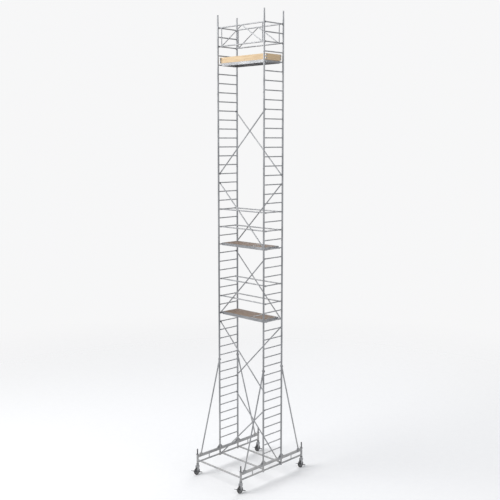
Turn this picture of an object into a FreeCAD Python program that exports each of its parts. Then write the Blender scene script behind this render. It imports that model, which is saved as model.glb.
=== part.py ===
import FreeCAD, Part
import os
import re

import Sketcher

# Mobile aluminium scaffold tower: six ladder frames a side on two base beams with four braked castors,
# diagonal braces, two working platforms with guard rails and a top platform with toe boards and guard frames.
# Millimetres. +Z is up, X runs along the platforms, Y across the ladder frames, and the origin is on the
# ground at the middle of the base.

SIZES = {
    # tower
    "bay_length": (1770, "ladder frame to ladder frame, along X"),
    "post_spacing": (735, "post axis to post axis in one ladder frame, along Y"),
    "joint_height": (760, "ground to the joint of the base beams and the first ladder frames"),
    "lift_height": (2000, "height of one ladder frame"),
    "rung_pitch": (250, "rung to rung"),
    "rung_first": (100, "frame foot to its first rung"),
    # tube sections
    "post_diameter": (50, "post tube, outside"),
    "post_wall": (2.5, "post tube wall"),
    "rung_diameter": (32, "rung tube, outside"),
    "rung_wall": (2, "rung tube wall"),
    "spigot_wall": (2.5, "spigot tube wall"),
    "spigot_fit": (0.4, "radial play of a spigot in the post it enters"),
    "seat_fit": (0.1, "radial play of a spigot where it is held in its own post"),
    "spigot_seat": (120, "spigot held inside its own post"),
    "spigot_reach": (190, "spigot that stands out of its post"),
    "weld_gap": (0.2, "gap left for the weld round a coped end"),
    # locking pins
    "pin_diameter": (8, "locking pin"),
    "pin_hole": (8.8, "hole for the locking pin"),
    "pin_height": (40, "pin above the foot of the upper frame"),
    "pin_head_diameter": (16, "head of the locking pin"),
    "pin_head_reach": (14, "head that stands off the post"),
    "pin_head_gap": (1, "head of the locking pin off the post"),
    "pin_tail": (6, "pin that shows on the far side"),
    # braces, rails and their claws
    "brace_diameter": (34, "brace and guard rail tube, outside"),
    "brace_wall": (2, "brace and guard rail tube wall"),
    "brace_plane": (322, "braces hook this far from the middle plane"),
    "rail_plane": (285, "guard rails hook this far from the middle plane"),
    "claw_wall": (6, "claw casting round a rung"),
    "claw_width": (30, "claw casting along the rung"),
    "claw_play": (0.3, "play of a claw on its rung"),
    "brace_drop": (1750, "height between the two ends of a diagonal brace"),
    "rail_height_low": (500, "knee rail above the rung that carries the platform"),
    "rail_height_high": (1000, "hand rail above the rung that carries the platform"),
    # base beams
    "castor_spacing": (2500, "castor spindle to castor spindle, along Y"),
    "stub_depth": (430, "foot of a stub post below the first joint"),
    "top_chord_drop": (224, "top chord axis below the first joint"),
    "top_chord_width": (40, "top chord, along X"),
    "top_chord_height": (72, "top chord, upright"),
    "chord_wall": (3, "chord wall"),
    "bottom_chord_drop": (392, "bottom chord axis below the first joint"),
    "bottom_chord_diameter": (48, "bottom chord tube, outside"),
    "sleeve_diameter": (60, "sleeve round a castor spindle, outside"),
    "sleeve_top_drop": (180, "top of a sleeve below the first joint"),
    "web_diameter": (25, "upright between the chords"),
    "web_offset": (430, "uprights stand this far outside the posts"),
    "gusset_leg": (95, "gusset between a stub post and the top chord"),
    "gusset_thickness": (8, "gusset plate"),
    "base_tube_diameter": (48, "tube that joins the two base beams"),
    "base_tube_wall": (3, "its wall"),
    "end_tube_drop": (330, "front end tube below the first joint"),
    "front_tube_drop": (346, "tube between the front stub posts below the first joint"),
    "back_tube_drop": (363, "tube between the back stub posts below the first joint"),
    # struts
    "strut_diameter": (38, "strut tube, outside"),
    "strut_wall": (2.5, "strut tube wall"),
    "strut_top": (2480, "upper strut clamp above the first joint"),
    "strut_foot": (1115, "foot of a strut from the middle of the base, along Y"),
    "clamp_diameter": (66, "clamp ring round a post"),
    "clamp_height": (56, "clamp ring, upright"),
    "shoe_length": (215, "sloping shoe of the clamp that takes the strut, from the post axis"),
    "shoe_wall": (4, "shoe outside the strut tube"),
    "clamp_play": (0.3, "play of a clamp ring on a post before it is tightened"),
    "foot_block_width": (54, "strut foot, along X"),
    "foot_block_length": (80, "strut foot, along Y"),
    "foot_block_height": (34, "strut foot, upright"),
    # platforms
    "deck_width": (600, "platform, along Y"),
    "deck_length": (1640, "platform frame, along X"),
    "deck_rise": (45, "platform top above the axis of the rung that carries it"),
    "beam_height": (75, "platform edge beam, upright"),
    "beam_width": (25, "platform edge beam"),
    "board_thickness": (12, "plywood"),
    "board_play": (1, "gap round the fixed board"),
    "bearer_height": (30, "cross bearer under the boards"),
    "bearer_width": (40, "cross bearer, along X"),
    "hatch_hinge": (285, "hatch hinge from the middle, along X"),
    "hatch_length": (497, "hatch board, along X"),
    "hatch_width": (500, "hatch board, along Y"),
    "hatch_play": (3, "gap round the hatch board"),
    "hinge_pin": (6, "hatch hinge pin diameter"),
    "hinge_barrel": (11, "hatch hinge barrel diameter"),
    "hinge_fit": (0.1, "radial play of the hinge pin"),
    "hinge_rise": (6.5, "hinge axis above the boards"),
    "hinge_gap": (2, "gap between neighbouring hinge barrels"),
    "leaf_length": (44, "hinge leaf, along X"),
    "hook_offset": (250, "platform hooks from the middle plane"),
    "toe_length": (1760, "toe boards, along X, so that they end over the rungs"),
    "toe_height": (155, "toe board, upright"),
    "toe_thickness": (22, "toe board"),
    "panel_post": (780, "uprights of a top guard frame from the middle, along X"),
    "panel_tube": (28, "lattice tube of a top guard frame"),
    # castors
    "wheel_diameter": (200, "castor wheel"),
    "tyre_width": (50, "tyre"),
    "tyre_depth": (24, "tyre, tread to rim"),
    "hub_width": (58, "wheel hub along the axle"),
    "hub_diameter": (56, "wheel hub"),
    "web_thickness": (14, "wheel disc"),
    "rim_thickness": (9, "wheel rim under the tyre"),
    "rim_inset": (2, "rim inside each side of the tyre"),
    "tyre_gap": (0.2, "radial gap between rim and tyre"),
    "tread_fall": (2, "fall of the tread towards its shoulders"),
    "axle_diameter": (14, "axle bolt"),
    "axle_fit": (0.06, "radial play of the wheel on its axle"),
    "castor_trail": (32, "axle behind the swivel axis"),
    "cheek_thickness": (6, "fork cheek"),
    "cheek_gap": (64, "fork cheek to fork cheek, inside"),
    "cheek_foot": (17, "fork cheek round the axle bolt, from its axis"),
    "cheek_corner": (7, "corners cut off the foot of a cheek"),
    "cheek_front": (40, "upright front edge of a cheek below the crown"),
    "cheek_back": (12, "widest part of a cheek behind the swivel head"),
    "cheek_back_drop": (30, "that part below the crown"),
    "cheek_fit": (0.2, "radial play of the axle bolt in the cheeks"),
    "bolt_head_diameter": (24, "head of the axle bolt"),
    "bolt_head_height": (7, "head of the axle bolt"),
    "bolt_gap": (1, "washer between the rocker and the bolt head"),
    "crown_height": (262, "underside of the fork crown above the ground"),
    "crown_thickness": (8, "fork crown plate"),
    "crown_overhang": (10, "crown plate behind the swivel head"),
    "crown_edge": (1, "crown plate beyond the swivel head at front and back"),
    "head_diameter": (78, "swivel head"),
    "head_height": (46, "swivel head, upright"),
    "king_pin": (20, "king pin diameter"),
    "king_fit": (0.06, "radial play of the king pin"),
    "flange_diameter": (72, "flange under the spindle"),
    "flange_thickness": (12, "flange under the spindle"),
    "spindle_diameter": (38, "threaded spindle"),
    "spindle_fit": (0.4, "radial play of the spindle in its sleeve"),
    "nut_height": (26, "levelling nut"),
    "nut_diameter": (66, "levelling nut"),
    "wing_reach": (62, "handle of the levelling nut from its axis"),
    "wing_width": (16, "handle of the levelling nut, across"),
    "wing_height": (15.6, "handle of the levelling nut, upright"),
    "pedal_thickness": (6, "brake rocker"),
    "pedal_width": (24, "brake rocker across its length"),
    "pedal_front": (205, "brake pad from the axle"),
    "pedal_back": (165, "release pad from the axle"),
    "pad_width": (46, "foot pad along X"),
    "pad_thickness": (8, "foot pad"),
    "pad_length": (34, "foot pad along the rocker"),
    "pedal_tilt": (22, "slope of the brake rocker, in degrees"),
    "pedal_gap": (2, "washer gap between the fork and the rocker"),
}

X_AXIS = FreeCAD.Vector(1, 0, 0)
Y_AXIS = FreeCAD.Vector(0, 1, 0)
Z_AXIS = FreeCAD.Vector(0, 0, 1)

doc = FreeCAD.newDocument("ScaffoldTower")
sheet = doc.addObject("Spreadsheet::Sheet", "Sizes")
for row, (alias, (value, note)) in enumerate(SIZES.items(), start=1):
    sheet.set("A%d" % row, str(value))
    sheet.setAlias("A%d" % row, alias)
    sheet.set("B%d" % row, note)
doc.recompute()

nodes = []

# Degrees of a first turn, which keeps the axis until the bound angle is worked out.
AXIS_KEEPER = 30


def sized(text):
    """Turns a sum over size names into an expression on the spreadsheet."""
    return re.sub(r"[a-z_]+", lambda word: ("Sizes." if word[0] in SIZES else "") + word[0], str(text))


def bind(item, **sums):
    for prop, text in sums.items():
        item.setExpression(prop, sized(text))
    return item


def place(item, x=0, y=0, z=0, axis=None, turn=0):
    """Puts an object at a place worked out from the sizes, turned about one axis through its own origin."""
    if axis is not None:
        item.Placement = FreeCAD.Placement(FreeCAD.Vector(), FreeCAD.Rotation(axis, AXIS_KEEPER))
        item.setExpression("Placement.Rotation.Angle", sized(turn))
    for letter, text in (("x", x), ("y", y), ("z", z)):
        item.setExpression("Placement.Base." + letter, sized(text))
    return item


def rod(name, diameter, length, **where):
    """A round bar that starts at its place and runs along its own +Z."""
    item = doc.addObject("Part::Cylinder", name)
    bind(item, Radius="(%s) / 2" % diameter, Height=length)
    return place(item, **where)


def block(name, along_x, along_y, along_z, x=0, y=0, z=0):
    """A rectangular bar centred on x and y, standing on z."""
    item = doc.addObject("Part::Box", name)
    bind(item, Length=along_x, Width=along_y, Height=along_z)
    return place(item, x="%s - (%s) / 2" % (x, along_x), y="%s - (%s) / 2" % (y, along_y), z=z)


def fuse(name, *pieces):
    item = doc.addObject("Part::MultiFuse", name)
    item.Shapes = list(pieces)
    item.Refine = True
    return item


def cut(name, base, *tools):
    item = doc.addObject("Part::Cut", name)
    item.Base = base
    item.Tool = tools[0] if len(tools) == 1 else fuse(name + "_tools", *tools)
    return item


def group(name, *pieces, **where):
    """Several solids that stay separate under one object."""
    item = doc.addObject("Part::Compound", name)
    item.Links = list(pieces)
    return place(item, **where)


def tube(name, diameter, wall, length, **where):
    outer = rod(name + "_outer", diameter, length)
    inner = rod(name + "_inner", "%s - 2 * (%s)" % (diameter, wall), length)
    return place(cut(name, outer, inner), **where)


def node(item, label):
    """Marks an object as a sub-part that gets a file of its own."""
    item.Label = label
    nodes.append(item)
    return item


def polygon_sketch(body, plane, points):
    """A closed outline on one of the body's own origin planes, each corner tied to the sizes."""
    sketch = body.newObject("Sketcher::SketchObject", body.Name + "_outline")
    origin = [item for item in body.Origin.OriginFeatures if item.Role == plane][0]
    sketch.AttachmentSupport = (origin, "")
    sketch.MapMode = "FlatFace"
    worked = [[float(doc.Sizes.evalExpression(sized(text))) for text in point] for point in points]
    count = len(points)
    for index in range(count):
        start = FreeCAD.Vector(*worked[index], 0)
        end = FreeCAD.Vector(*worked[(index + 1) % count], 0)
        sketch.addGeometry(Part.LineSegment(start, end), False)
    for index in range(count):
        sketch.addConstraint(Sketcher.Constraint("Coincident", index, 2, (index + 1) % count, 1))
    for index in range(count):
        for side, kind in enumerate(("DistanceX", "DistanceY")):
            value = worked[index][side]
            number = sketch.addConstraint(Sketcher.Constraint(kind, -1, 1, index, 1, value))
            sketch.setExpression("Constraints[%d]" % number, sized(points[index][side]))
    return sketch


def padded_body(name, plane, points, thickness):
    """A plate cut to an outline and padded to one side of its plane."""
    body = doc.addObject("PartDesign::Body", name)
    pad = body.newObject("PartDesign::Pad", name + "_pad")
    pad.Profile = polygon_sketch(body, plane, points)
    pad.setExpression("Length", sized(thickness))
    return body


def turned_body(name, plane, points, axis):
    """A ring or wheel turned about one axis of its outline's sketch."""
    body = doc.addObject("PartDesign::Body", name)
    turn = body.newObject("PartDesign::Revolution", name + "_turn")
    outline = polygon_sketch(body, plane, points)
    turn.Profile = outline
    turn.ReferenceAxis = (outline, [axis])
    turn.Angle = 360
    return body


def mirrored_pair(name, build):
    """Builds a piece at +1 and -1."""
    return [build("%s_%s" % (name, side), sign) for side, sign in (("a", 1), ("b", -1))]


# ---------------------------------------------------------------- ladder frames
FRAMES = 6
RUNGS = 8
POST_Y = "post_spacing / 2"
SPIGOT_DIAMETER = "post_diameter - 2 * post_wall - 2 * spigot_fit"
SEAT_DIAMETER = "post_diameter - 2 * post_wall - 2 * seat_fit"


def cross_hole(name, y, z):
    """The hole for a locking pin, through a post from side to side along X."""
    return rod(name, "pin_hole", "2 * post_diameter", x="-post_diameter", y=y, z=z, axis=Y_AXIS, turn=90)


def spigot(name, y, top):
    """The inner tube that joins one frame to the next, swaged out where it is held, with its pin hole."""
    seat = rod(name + "_seat", SEAT_DIAMETER, "spigot_seat", y=y, z="%s - spigot_seat" % top)
    reach = rod(name + "_reach", SPIGOT_DIAMETER, "spigot_reach", y=y, z=top)
    bore = rod(name + "_bore", "%s - 2 * spigot_wall" % SPIGOT_DIAMETER, "spigot_seat + spigot_reach",
               y=y, z="%s - spigot_seat" % top)
    hole = cross_hole(name + "_hole", y, "%s + pin_height" % top)
    return cut(name, fuse(name + "_outside", seat, reach), bore, hole)


def ladder_frame_pieces():
    """Two posts, the rungs coped to them and two spigots."""
    def stile(name, sign):
        y = "%d * %s" % (sign, POST_Y)
        plain = tube(name + "_tube", "post_diameter", "post_wall", "lift_height", y=y)
        return cut(name, plain, cross_hole(name + "_hole", y, "pin_height"))

    pieces = mirrored_pair("stile", stile)
    pieces += mirrored_pair("frame_spigot", lambda name, sign: spigot(
        name, "%d * %s" % (sign, POST_Y), "lift_height"))
    rungs = [tube("rung_%d" % index, "rung_diameter", "rung_wall", "post_spacing",
                  y=POST_Y, z="rung_first + %d * rung_pitch" % index, axis=X_AXIS, turn=90)
             for index in range(RUNGS)]
    envelopes = mirrored_pair("cope", lambda name, sign: rod(
        name, "post_diameter + 2 * weld_gap", "lift_height", y="%d * %s" % (sign, POST_Y)))
    return pieces + [cut("rungs_coped", group("rungs", *rungs), *envelopes)]


frame_pieces = ladder_frame_pieces()
for side, sign in (("left", -1), ("right", 1)):
    for level in range(FRAMES):
        frame = group("ladder_%s_%d" % (side, level + 1), *frame_pieces, x="%d * bay_length / 2" % sign,
                      z="joint_height + %d * lift_height" % level)
        node(frame, "ladder_frame_%s_%d" % (side, level + 1))

# ---------------------------------------------------------------- base beams
SLEEVE_Y = "castor_spacing / 2"
SLEEVE_BORE = "spindle_diameter + 2 * spindle_fit"


def base_beam_pieces():
    """Two chords between the castor sleeves, two stub posts with spigots, uprights and gussets."""
    def stub(name, sign):
        y = "%d * %s" % (sign, POST_Y)
        return tube(name, "post_diameter", "post_wall", "stub_depth", y=y, z="-stub_depth")

    def sleeve(name, sign):
        y = "%d * %s" % (sign, SLEEVE_Y)
        length = "stub_depth - sleeve_top_drop"
        outer = rod(name + "_outer", "sleeve_diameter", length, y=y, z="-stub_depth")
        bore = rod(name + "_bore", SLEEVE_BORE, length, y=y, z="-stub_depth")
        return cut(name, outer, bore)

    def upright(name, sign):
        top = "top_chord_drop + top_chord_height / 2"
        return tube(name, "web_diameter", "chord_wall", "bottom_chord_drop - %s" % top.replace("+", "-"),
                    y="%d * (%s + web_offset)" % (sign, POST_Y), z="-bottom_chord_drop")

    pieces = mirrored_pair("stub", stub)
    pieces += mirrored_pair("stub_spigot", lambda name, sign: spigot(name, "%d * %s" % (sign, POST_Y), "0"))
    pieces += mirrored_pair("sleeve", sleeve)

    def envelopes(name):
        made = mirrored_pair(name + "_stub", lambda part, sign: place(
            rod(part, "post_diameter + 2 * weld_gap", "2 * stub_depth"),
            y="%d * %s" % (sign, POST_Y), z="-1.5 * stub_depth"))
        made += mirrored_pair(name + "_sleeve", lambda part, sign: place(
            rod(part, "sleeve_diameter + 2 * weld_gap", "2 * stub_depth"),
            y="%d * %s" % (sign, SLEEVE_Y), z="-1.5 * stub_depth"))
        return made

    outer = block("top_chord_outer", "top_chord_width", "castor_spacing", "top_chord_height",
                  z="-top_chord_drop - top_chord_height / 2")
    inner = block("top_chord_inner", "top_chord_width - 2 * chord_wall", "castor_spacing",
                  "top_chord_height - 2 * chord_wall",
                  z="-top_chord_drop - top_chord_height / 2 + chord_wall")
    pieces.append(cut("top_chord", outer, inner, *envelopes("top_cope")))
    chord = tube("bottom_chord_tube", "bottom_chord_diameter", "chord_wall", "castor_spacing",
                 y=SLEEVE_Y, z="-bottom_chord_drop", axis=X_AXIS, turn=90)
    pieces.append(cut("bottom_chord", chord, *envelopes("bottom_cope")))
    solid_chord = rod("bottom_chord_weld", "bottom_chord_diameter + 2 * weld_gap", "castor_spacing",
                      y=SLEEVE_Y, z="-bottom_chord_drop", axis=X_AXIS, turn=90)
    uprights = mirrored_pair("web", upright)
    pieces.append(cut("webs", group("web_pair", *uprights), solid_chord))
    for sign, turn in ((1, 0), (-1, 180)):
        for face, out in (("outer", 1), ("inner", -1)):
            name = "gusset_%s_%s" % ("front" if sign < 0 else "back", face)
            corner = [("0", "0"), ("gusset_leg", "0"), ("0", "gusset_leg")]
            plate = padded_body(name, "XZ_Plane", corner, "gusset_thickness")
            shift = "%d * %s + %d * (post_diameter / 2 + weld_gap)" % (sign, POST_Y, sign * out)
            thick = "gusset_thickness / 2" if sign * out > 0 else "-gusset_thickness / 2"
            place(plate, x=thick, y=shift, z="-top_chord_drop + top_chord_height / 2",
                  axis=Z_AXIS, turn=90 * sign * out)
            pieces.append(plate)
    return pieces


beam_pieces = base_beam_pieces()
for side, sign in (("left", -1), ("right", 1)):
    beam = group("beam_" + side, *beam_pieces, x="%d * bay_length / 2" % sign, z="joint_height")
    node(beam, "base_beam_" + side)


def base_tube(name, y, drop, envelope_diameter):
    """A round tube between the two base beams, coped at its ends to the upright tubes and bottom chords."""
    body = tube(name + "_tube", "base_tube_diameter", "base_tube_wall", "bay_length",
                x="-bay_length / 2", y=y, z="joint_height - %s" % drop, axis=Y_AXIS, turn=90)
    ends = mirrored_pair(name + "_end", lambda part, sign: rod(
        part, "%s + 2 * weld_gap" % envelope_diameter, "joint_height", x="%d * bay_length / 2" % sign, y=y))
    ends += mirrored_pair(name + "_chord", lambda part, sign: rod(
        part, "bottom_chord_diameter + 2 * weld_gap", "castor_spacing", x="%d * bay_length / 2" % sign,
        y=SLEEVE_Y, z="joint_height - bottom_chord_drop", axis=X_AXIS, turn=90))
    return node(cut(name, body, *ends), name)


base_tube("base_tube_end", "-" + SLEEVE_Y, "end_tube_drop", "sleeve_diameter")
base_tube("base_tube_front", "-" + POST_Y, "front_tube_drop", "post_diameter")
base_tube("base_tube_back", POST_Y, "back_tube_drop", "post_diameter")

# ---------------------------------------------------------------- struts
STRUT_BASE = "-top_chord_drop + top_chord_height / 2"
STRUT_RUN = "(strut_foot - %s)" % POST_Y
STRUT_RISE = "(strut_top + top_chord_drop - top_chord_height / 2)"


def strut(name, sign):
    """A sloping tube with a clamp ring on the post and a foot block on the top chord."""
    post_y = "%d * %s" % (sign, POST_Y)
    foot_y = "%d * strut_foot" % sign
    ring = rod(name + "_ring", "clamp_diameter", "clamp_height", y=post_y, z="strut_top - clamp_height / 2")
    slope = "%d * atan2(%s; %s)" % (sign, STRUT_RUN, STRUT_RISE)
    shoe = rod(name + "_shoe", "strut_diameter + 2 * shoe_wall", "shoe_length", y=post_y, z="strut_top",
               axis=X_AXIS, turn="180 deg + " + slope)
    bore = rod(name + "_bore", "post_diameter + 2 * clamp_play", "shoe_length + 2 * clamp_height",
               y=post_y, z="strut_top - shoe_length - clamp_height")
    foot = block(name + "_foot", "foot_block_width", "foot_block_length", "foot_block_height",
                 y=foot_y, z=STRUT_BASE)
    bar = tube(name + "_bar", "strut_diameter", "strut_wall",
               "sqrt(%s ^ 2 + %s ^ 2) - shoe_length" % (STRUT_RUN, STRUT_RISE),
               y=foot_y, z=STRUT_BASE, axis=X_AXIS, turn=slope)
    foot_keep = block(name + "_foot_keep", "2 * foot_block_width", "2 * foot_block_length",
                      "2 * foot_block_height", y=foot_y, z=STRUT_BASE + " - foot_block_height")
    return [cut(name + "_clamp", fuse(name + "_casting", ring, shoe), bore), foot,
            cut(name + "_tube", bar, foot_keep)]


strut_pieces = strut("strut_back", 1) + strut("strut_front", -1)
for side, sign in (("left", -1), ("right", 1)):
    struts = group("strut_set_" + side, *strut_pieces, x="%d * bay_length / 2" % sign, z="joint_height")
    node(struts, "struts_" + side)


# ---------------------------------------------------------------- braces and guard rails
def claw(name, x, z, bar_diameter):
    """The outside of a casting that drops over a rung or chord."""
    return rod(name, "%s + 2 * claw_play + 2 * claw_wall" % bar_diameter, "claw_width",
               x=x, y="claw_width / 2", z=z, axis=X_AXIS, turn=90)


def claw_room(name, x, z, bar_diameter):
    """The bar that a claw holds, and its mouth below."""
    bore = rod(name + "_bore", "%s + 2 * claw_play" % bar_diameter, "2 * claw_width",
               x=x, y="claw_width", z=z, axis=X_AXIS, turn=90)
    reach = "%s + 2 * claw_play + 2 * claw_wall" % bar_diameter
    mouth = block(name + "_mouth", "%s + 2 * claw_play" % bar_diameter, "2 * claw_width", "(%s) / 2" % reach,
                  x=x, z="%s - (%s) / 2" % (z, reach))
    return fuse(name, bore, mouth)


def hooked_bar(name, start_z, end_z, start_bar="rung_diameter", end_bar="rung_diameter",
               diameter="brace_diameter"):
    """A tube from a rung of the left frame to a rung of the right one, with a claw at each end."""
    rise = "((%s) - (%s))" % (end_z, start_z)
    length = "sqrt(bay_length ^ 2 + %s ^ 2)" % rise
    angle = "atan2(bay_length; %s)" % rise
    bar = tube(name + "_bar", diameter, "brace_wall", length, x="-bay_length / 2", z=start_z,
               axis=Y_AXIS, turn=angle)
    claws = [claw(name + "_left", "-bay_length / 2", start_z, start_bar),
             claw(name + "_right", "bay_length / 2", end_z, end_bar)]
    rooms = [claw_room(name + "_left_room", "-bay_length / 2", start_z, start_bar),
             claw_room(name + "_right_room", "bay_length / 2", end_z, end_bar)]
    return cut(name, fuse(name + "_cast", bar, *claws), *rooms)


rising = hooked_bar("brace_rising", "0", "brace_drop")
falling = hooked_bar("brace_falling", "brace_drop", "0")
FIRST_DROP = "bottom_chord_drop + rung_first + 5 * rung_pitch"
first_rising = hooked_bar("brace_first_rising", "0", FIRST_DROP, start_bar="bottom_chord_diameter")
first_falling = hooked_bar("brace_first_falling", FIRST_DROP, "0", end_bar="bottom_chord_diameter")


def brace_pair(number, front, back, foot):
    """One brace on each side of the tower, between the same two rungs."""
    front_bar = group("brace_%d_front" % number, front, y="-brace_plane", z=foot)
    back_bar = group("brace_%d_back" % number, back, y="brace_plane", z=foot)
    node(group("brace_level_%d" % number, front_bar, back_bar), "brace_pair_%d" % number)


def rung_height(frame, rung):
    """Height above the ground of a rung, counted from 0, of a ladder frame counted from 0."""
    return "joint_height + %d * lift_height + rung_first + %d * rung_pitch" % (frame, rung)


brace_pair(1, first_rising, first_falling, "joint_height - bottom_chord_drop")
brace_pair(2, falling, rising, rung_height(0, 7))
brace_pair(3, rising, falling, rung_height(1, 7))
brace_pair(4, falling, rising, rung_height(2, 7))
brace_pair(5, rising, falling, rung_height(3, 7))

guard_rail = hooked_bar("guard_rail", "0", "0")
for level, frame_index in (("lower", 1), ("middle", 2)):
    rails = []
    for side, sign in (("front", -1), ("back", 1)):
        for height in ("low", "high"):
            rails.append(group("rail_%s_%s_%s" % (level, side, height), guard_rail, y="%d * rail_plane" % sign,
                               z="%s + rail_height_%s" % (rung_height(frame_index, 7), height)))
    node(group("rails_" + level, *rails), "guard_rails_" + level)


def guard_frame_pieces():
    """Top and bottom rail with claws, two uprights and two lattice bars that meet under the top rail."""
    low = hooked_bar("panel_low", "0", "0")
    high = hooked_bar("panel_high", "rail_height_low", "rail_height_low")
    rail_weld = [rod("panel_weld_%s" % name, "brace_diameter + 2 * weld_gap", "bay_length",
                     x="-bay_length / 2", z=z, axis=Y_AXIS, turn=90)
                 for name, z in (("low", "0"), ("high", "rail_height_low"))]
    uprights = mirrored_pair("panel_upright", lambda name, sign: rod(
        name, "panel_tube", "rail_height_low", x="%d * panel_post" % sign))
    keep = mirrored_pair("panel_keep", lambda name, sign: rod(
        name, "panel_tube + 2 * weld_gap", "rail_height_low", x="%d * panel_post" % sign))
    middle = block("panel_middle", "weld_gap", "2 * panel_tube", "rail_height_low")
    lattice = mirrored_pair("panel_lattice", lambda name, sign: rod(
        name, "panel_tube", "sqrt(panel_post ^ 2 + rail_height_low ^ 2)", x="%d * panel_post" % sign,
        axis=Y_AXIS, turn="%d * atan2(panel_post; rail_height_low)" % -sign))
    upright_pieces = cut("panel_uprights", group("panel_upright_pair", *uprights), *rail_weld)
    half = [cut(bar.Name + "_cut", bar, *rail_weld, *keep, middle) for bar in lattice]
    return [low, high, upright_pieces] + half


panel_pieces = guard_frame_pieces()
for side, sign in (("front", -1), ("back", 1)):
    node(group("panel_" + side, *panel_pieces, y="%d * brace_plane" % sign, z=rung_height(5, 5)),
         "top_guard_frame_" + side)

# ---------------------------------------------------------------- platforms
DECK_TOP = "deck_rise"
BEAM_FOOT = "deck_rise - beam_height"
HATCH_END = "hatch_hinge + hatch_play + hatch_length"
HINGE_Z = "deck_rise + hinge_rise"
BARREL_WIDTH = "hatch_width / 8"
# cross bearers under the fixed board, as shares of half the platform from its middle
BEARER_SHARES = (-0.7, -0.35, 0)


def deck_frame_pieces():
    """Edge beams, end beams with hooks, cross bearers and the hinge pin with its two end barrels."""
    def side_beam(name, sign):
        return block(name, "deck_length", "beam_width", "beam_height",
                     y="%d * (deck_width - beam_width) / 2" % sign, z=BEAM_FOOT)

    def end_beam(name, sign):
        return block(name, "beam_width", "deck_width - 2 * beam_width", "beam_height",
                     x="%d * (deck_length - beam_width) / 2" % sign, z=BEAM_FOOT)

    def hook(name, x_sign, y_sign):
        arm_length = "(bay_length - deck_length) / 2"
        arm = block(name + "_arm", arm_length, "claw_width", "rung_diameter",
                    x="%d * (deck_length / 2 + %s / 2)" % (x_sign, arm_length),
                    z="-rung_diameter / 2 + claw_wall")
        ring = claw(name + "_ring", "%d * bay_length / 2" % x_sign, "0", "rung_diameter")
        room = claw_room(name + "_room", "%d * bay_length / 2" % x_sign, "0", "rung_diameter")
        made = cut(name, fuse(name + "_cast", arm, ring), room)
        return place(made, y="%d * hook_offset" % y_sign)

    def bearer(name, x):
        return block(name, "bearer_width", "deck_width - 2 * beam_width", "bearer_height",
                     x=x, z="deck_rise - board_thickness - bearer_height")

    def trimmer(name, sign):
        """The long ledge beside the hatch, level with the boards."""
        width = "(deck_width - hatch_width) / 2 - beam_width - hatch_play"
        return block(name, "deck_length / 2 - beam_width - hatch_hinge", width,
                     "board_thickness + bearer_height",
                     x="(deck_length / 2 - beam_width + hatch_hinge) / 2",
                     y="%d * (deck_width / 2 - beam_width - (%s) / 2)" % (sign, width),
                     z="deck_rise - board_thickness - bearer_height")

    pieces = mirrored_pair("side_beam", side_beam) + mirrored_pair("end_beam", end_beam)
    for x_sign, x_name in ((-1, "left"), (1, "right")):
        for y_sign, y_name in ((-1, "front"), (1, "back")):
            pieces.append(hook("hook_%s_%s" % (x_name, y_name), x_sign, y_sign))
    pieces.append(bearer("bearer_hinge", "hatch_hinge - bearer_width / 2"))
    for index, share in enumerate(BEARER_SHARES):
        pieces.append(bearer("bearer_%d" % index, "%s * deck_length / 2" % share))
    ledge_width = "deck_length / 2 - beam_width - (%s) + hatch_play * 2" % HATCH_END
    pieces.append(block("hatch_ledge", ledge_width, "hatch_width", "bearer_height",
                        x="deck_length / 2 - beam_width - (%s) / 2" % ledge_width,
                        z="deck_rise - board_thickness - bearer_height"))
    pieces += mirrored_pair("trimmer", trimmer)
    return pieces


def hinge_frame_half():
    """The pin across the hatch and the two fixed barrels, each on a leaf screwed to the fixed board."""
    pin = rod("hinge_pin_rod", "hinge_pin", "hatch_width", x="hatch_hinge", y="hatch_width / 2", z=HINGE_Z,
              axis=X_AXIS, turn=90)
    barrels = mirrored_pair("fixed_barrel", lambda name, sign: rod(
        name, "hinge_barrel", BARREL_WIDTH, x="hatch_hinge",
        y="%d * (hatch_width - %s) / 2 + %s / 2" % (sign, BARREL_WIDTH, BARREL_WIDTH), z=HINGE_Z,
        axis=X_AXIS, turn=90))
    leaves = mirrored_pair("fixed_leaf", lambda name, sign: block(
        name, "leaf_length", BARREL_WIDTH, "hinge_rise - hinge_pin / 2", x="hatch_hinge - leaf_length / 2",
        y="%d * (hatch_width - %s) / 2" % (sign, BARREL_WIDTH), z=DECK_TOP))
    return fuse("hinge_fixed", pin, *barrels, *leaves)


deck_pieces = deck_frame_pieces() + [hinge_frame_half()]

FIXED_LEFT = "-deck_length / 2 + beam_width + board_play"
FIXED_LENGTH = "hatch_hinge + deck_length / 2 - beam_width - board_play"
fixed_board = block("fixed_board", FIXED_LENGTH, "deck_width - 2 * beam_width - 2 * board_play",
                    "board_thickness", x="hatch_hinge - (%s) / 2" % FIXED_LENGTH,
                    z="deck_rise - board_thickness")


def hatch_pieces():
    """The hatch board, and its leaf and barrel on the hinge pin."""
    board = block("hatch_board", "hatch_length", "hatch_width", "board_thickness",
                  x="hatch_hinge + hatch_play + hatch_length / 2", z="deck_rise - board_thickness")
    width = "hatch_width - 2 * %s - 2 * hinge_gap" % BARREL_WIDTH
    barrel = rod("hatch_barrel", "hinge_barrel", width, x="hatch_hinge", y="(%s) / 2" % width, z=HINGE_Z,
                 axis=X_AXIS, turn=90)
    leaf = block("hatch_leaf", "leaf_length", width, "hinge_rise - hinge_pin / 2",
                 x="hatch_hinge + leaf_length / 2", z=DECK_TOP)
    bore = rod("hatch_bore", "hinge_pin + 2 * hinge_fit", "hatch_width", x="hatch_hinge", y="hatch_width / 2",
               z=HINGE_Z, axis=X_AXIS, turn=90)
    return [board, cut("hatch_hinge_half", fuse("hatch_hinge_cast", barrel, leaf), bore)]


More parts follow.
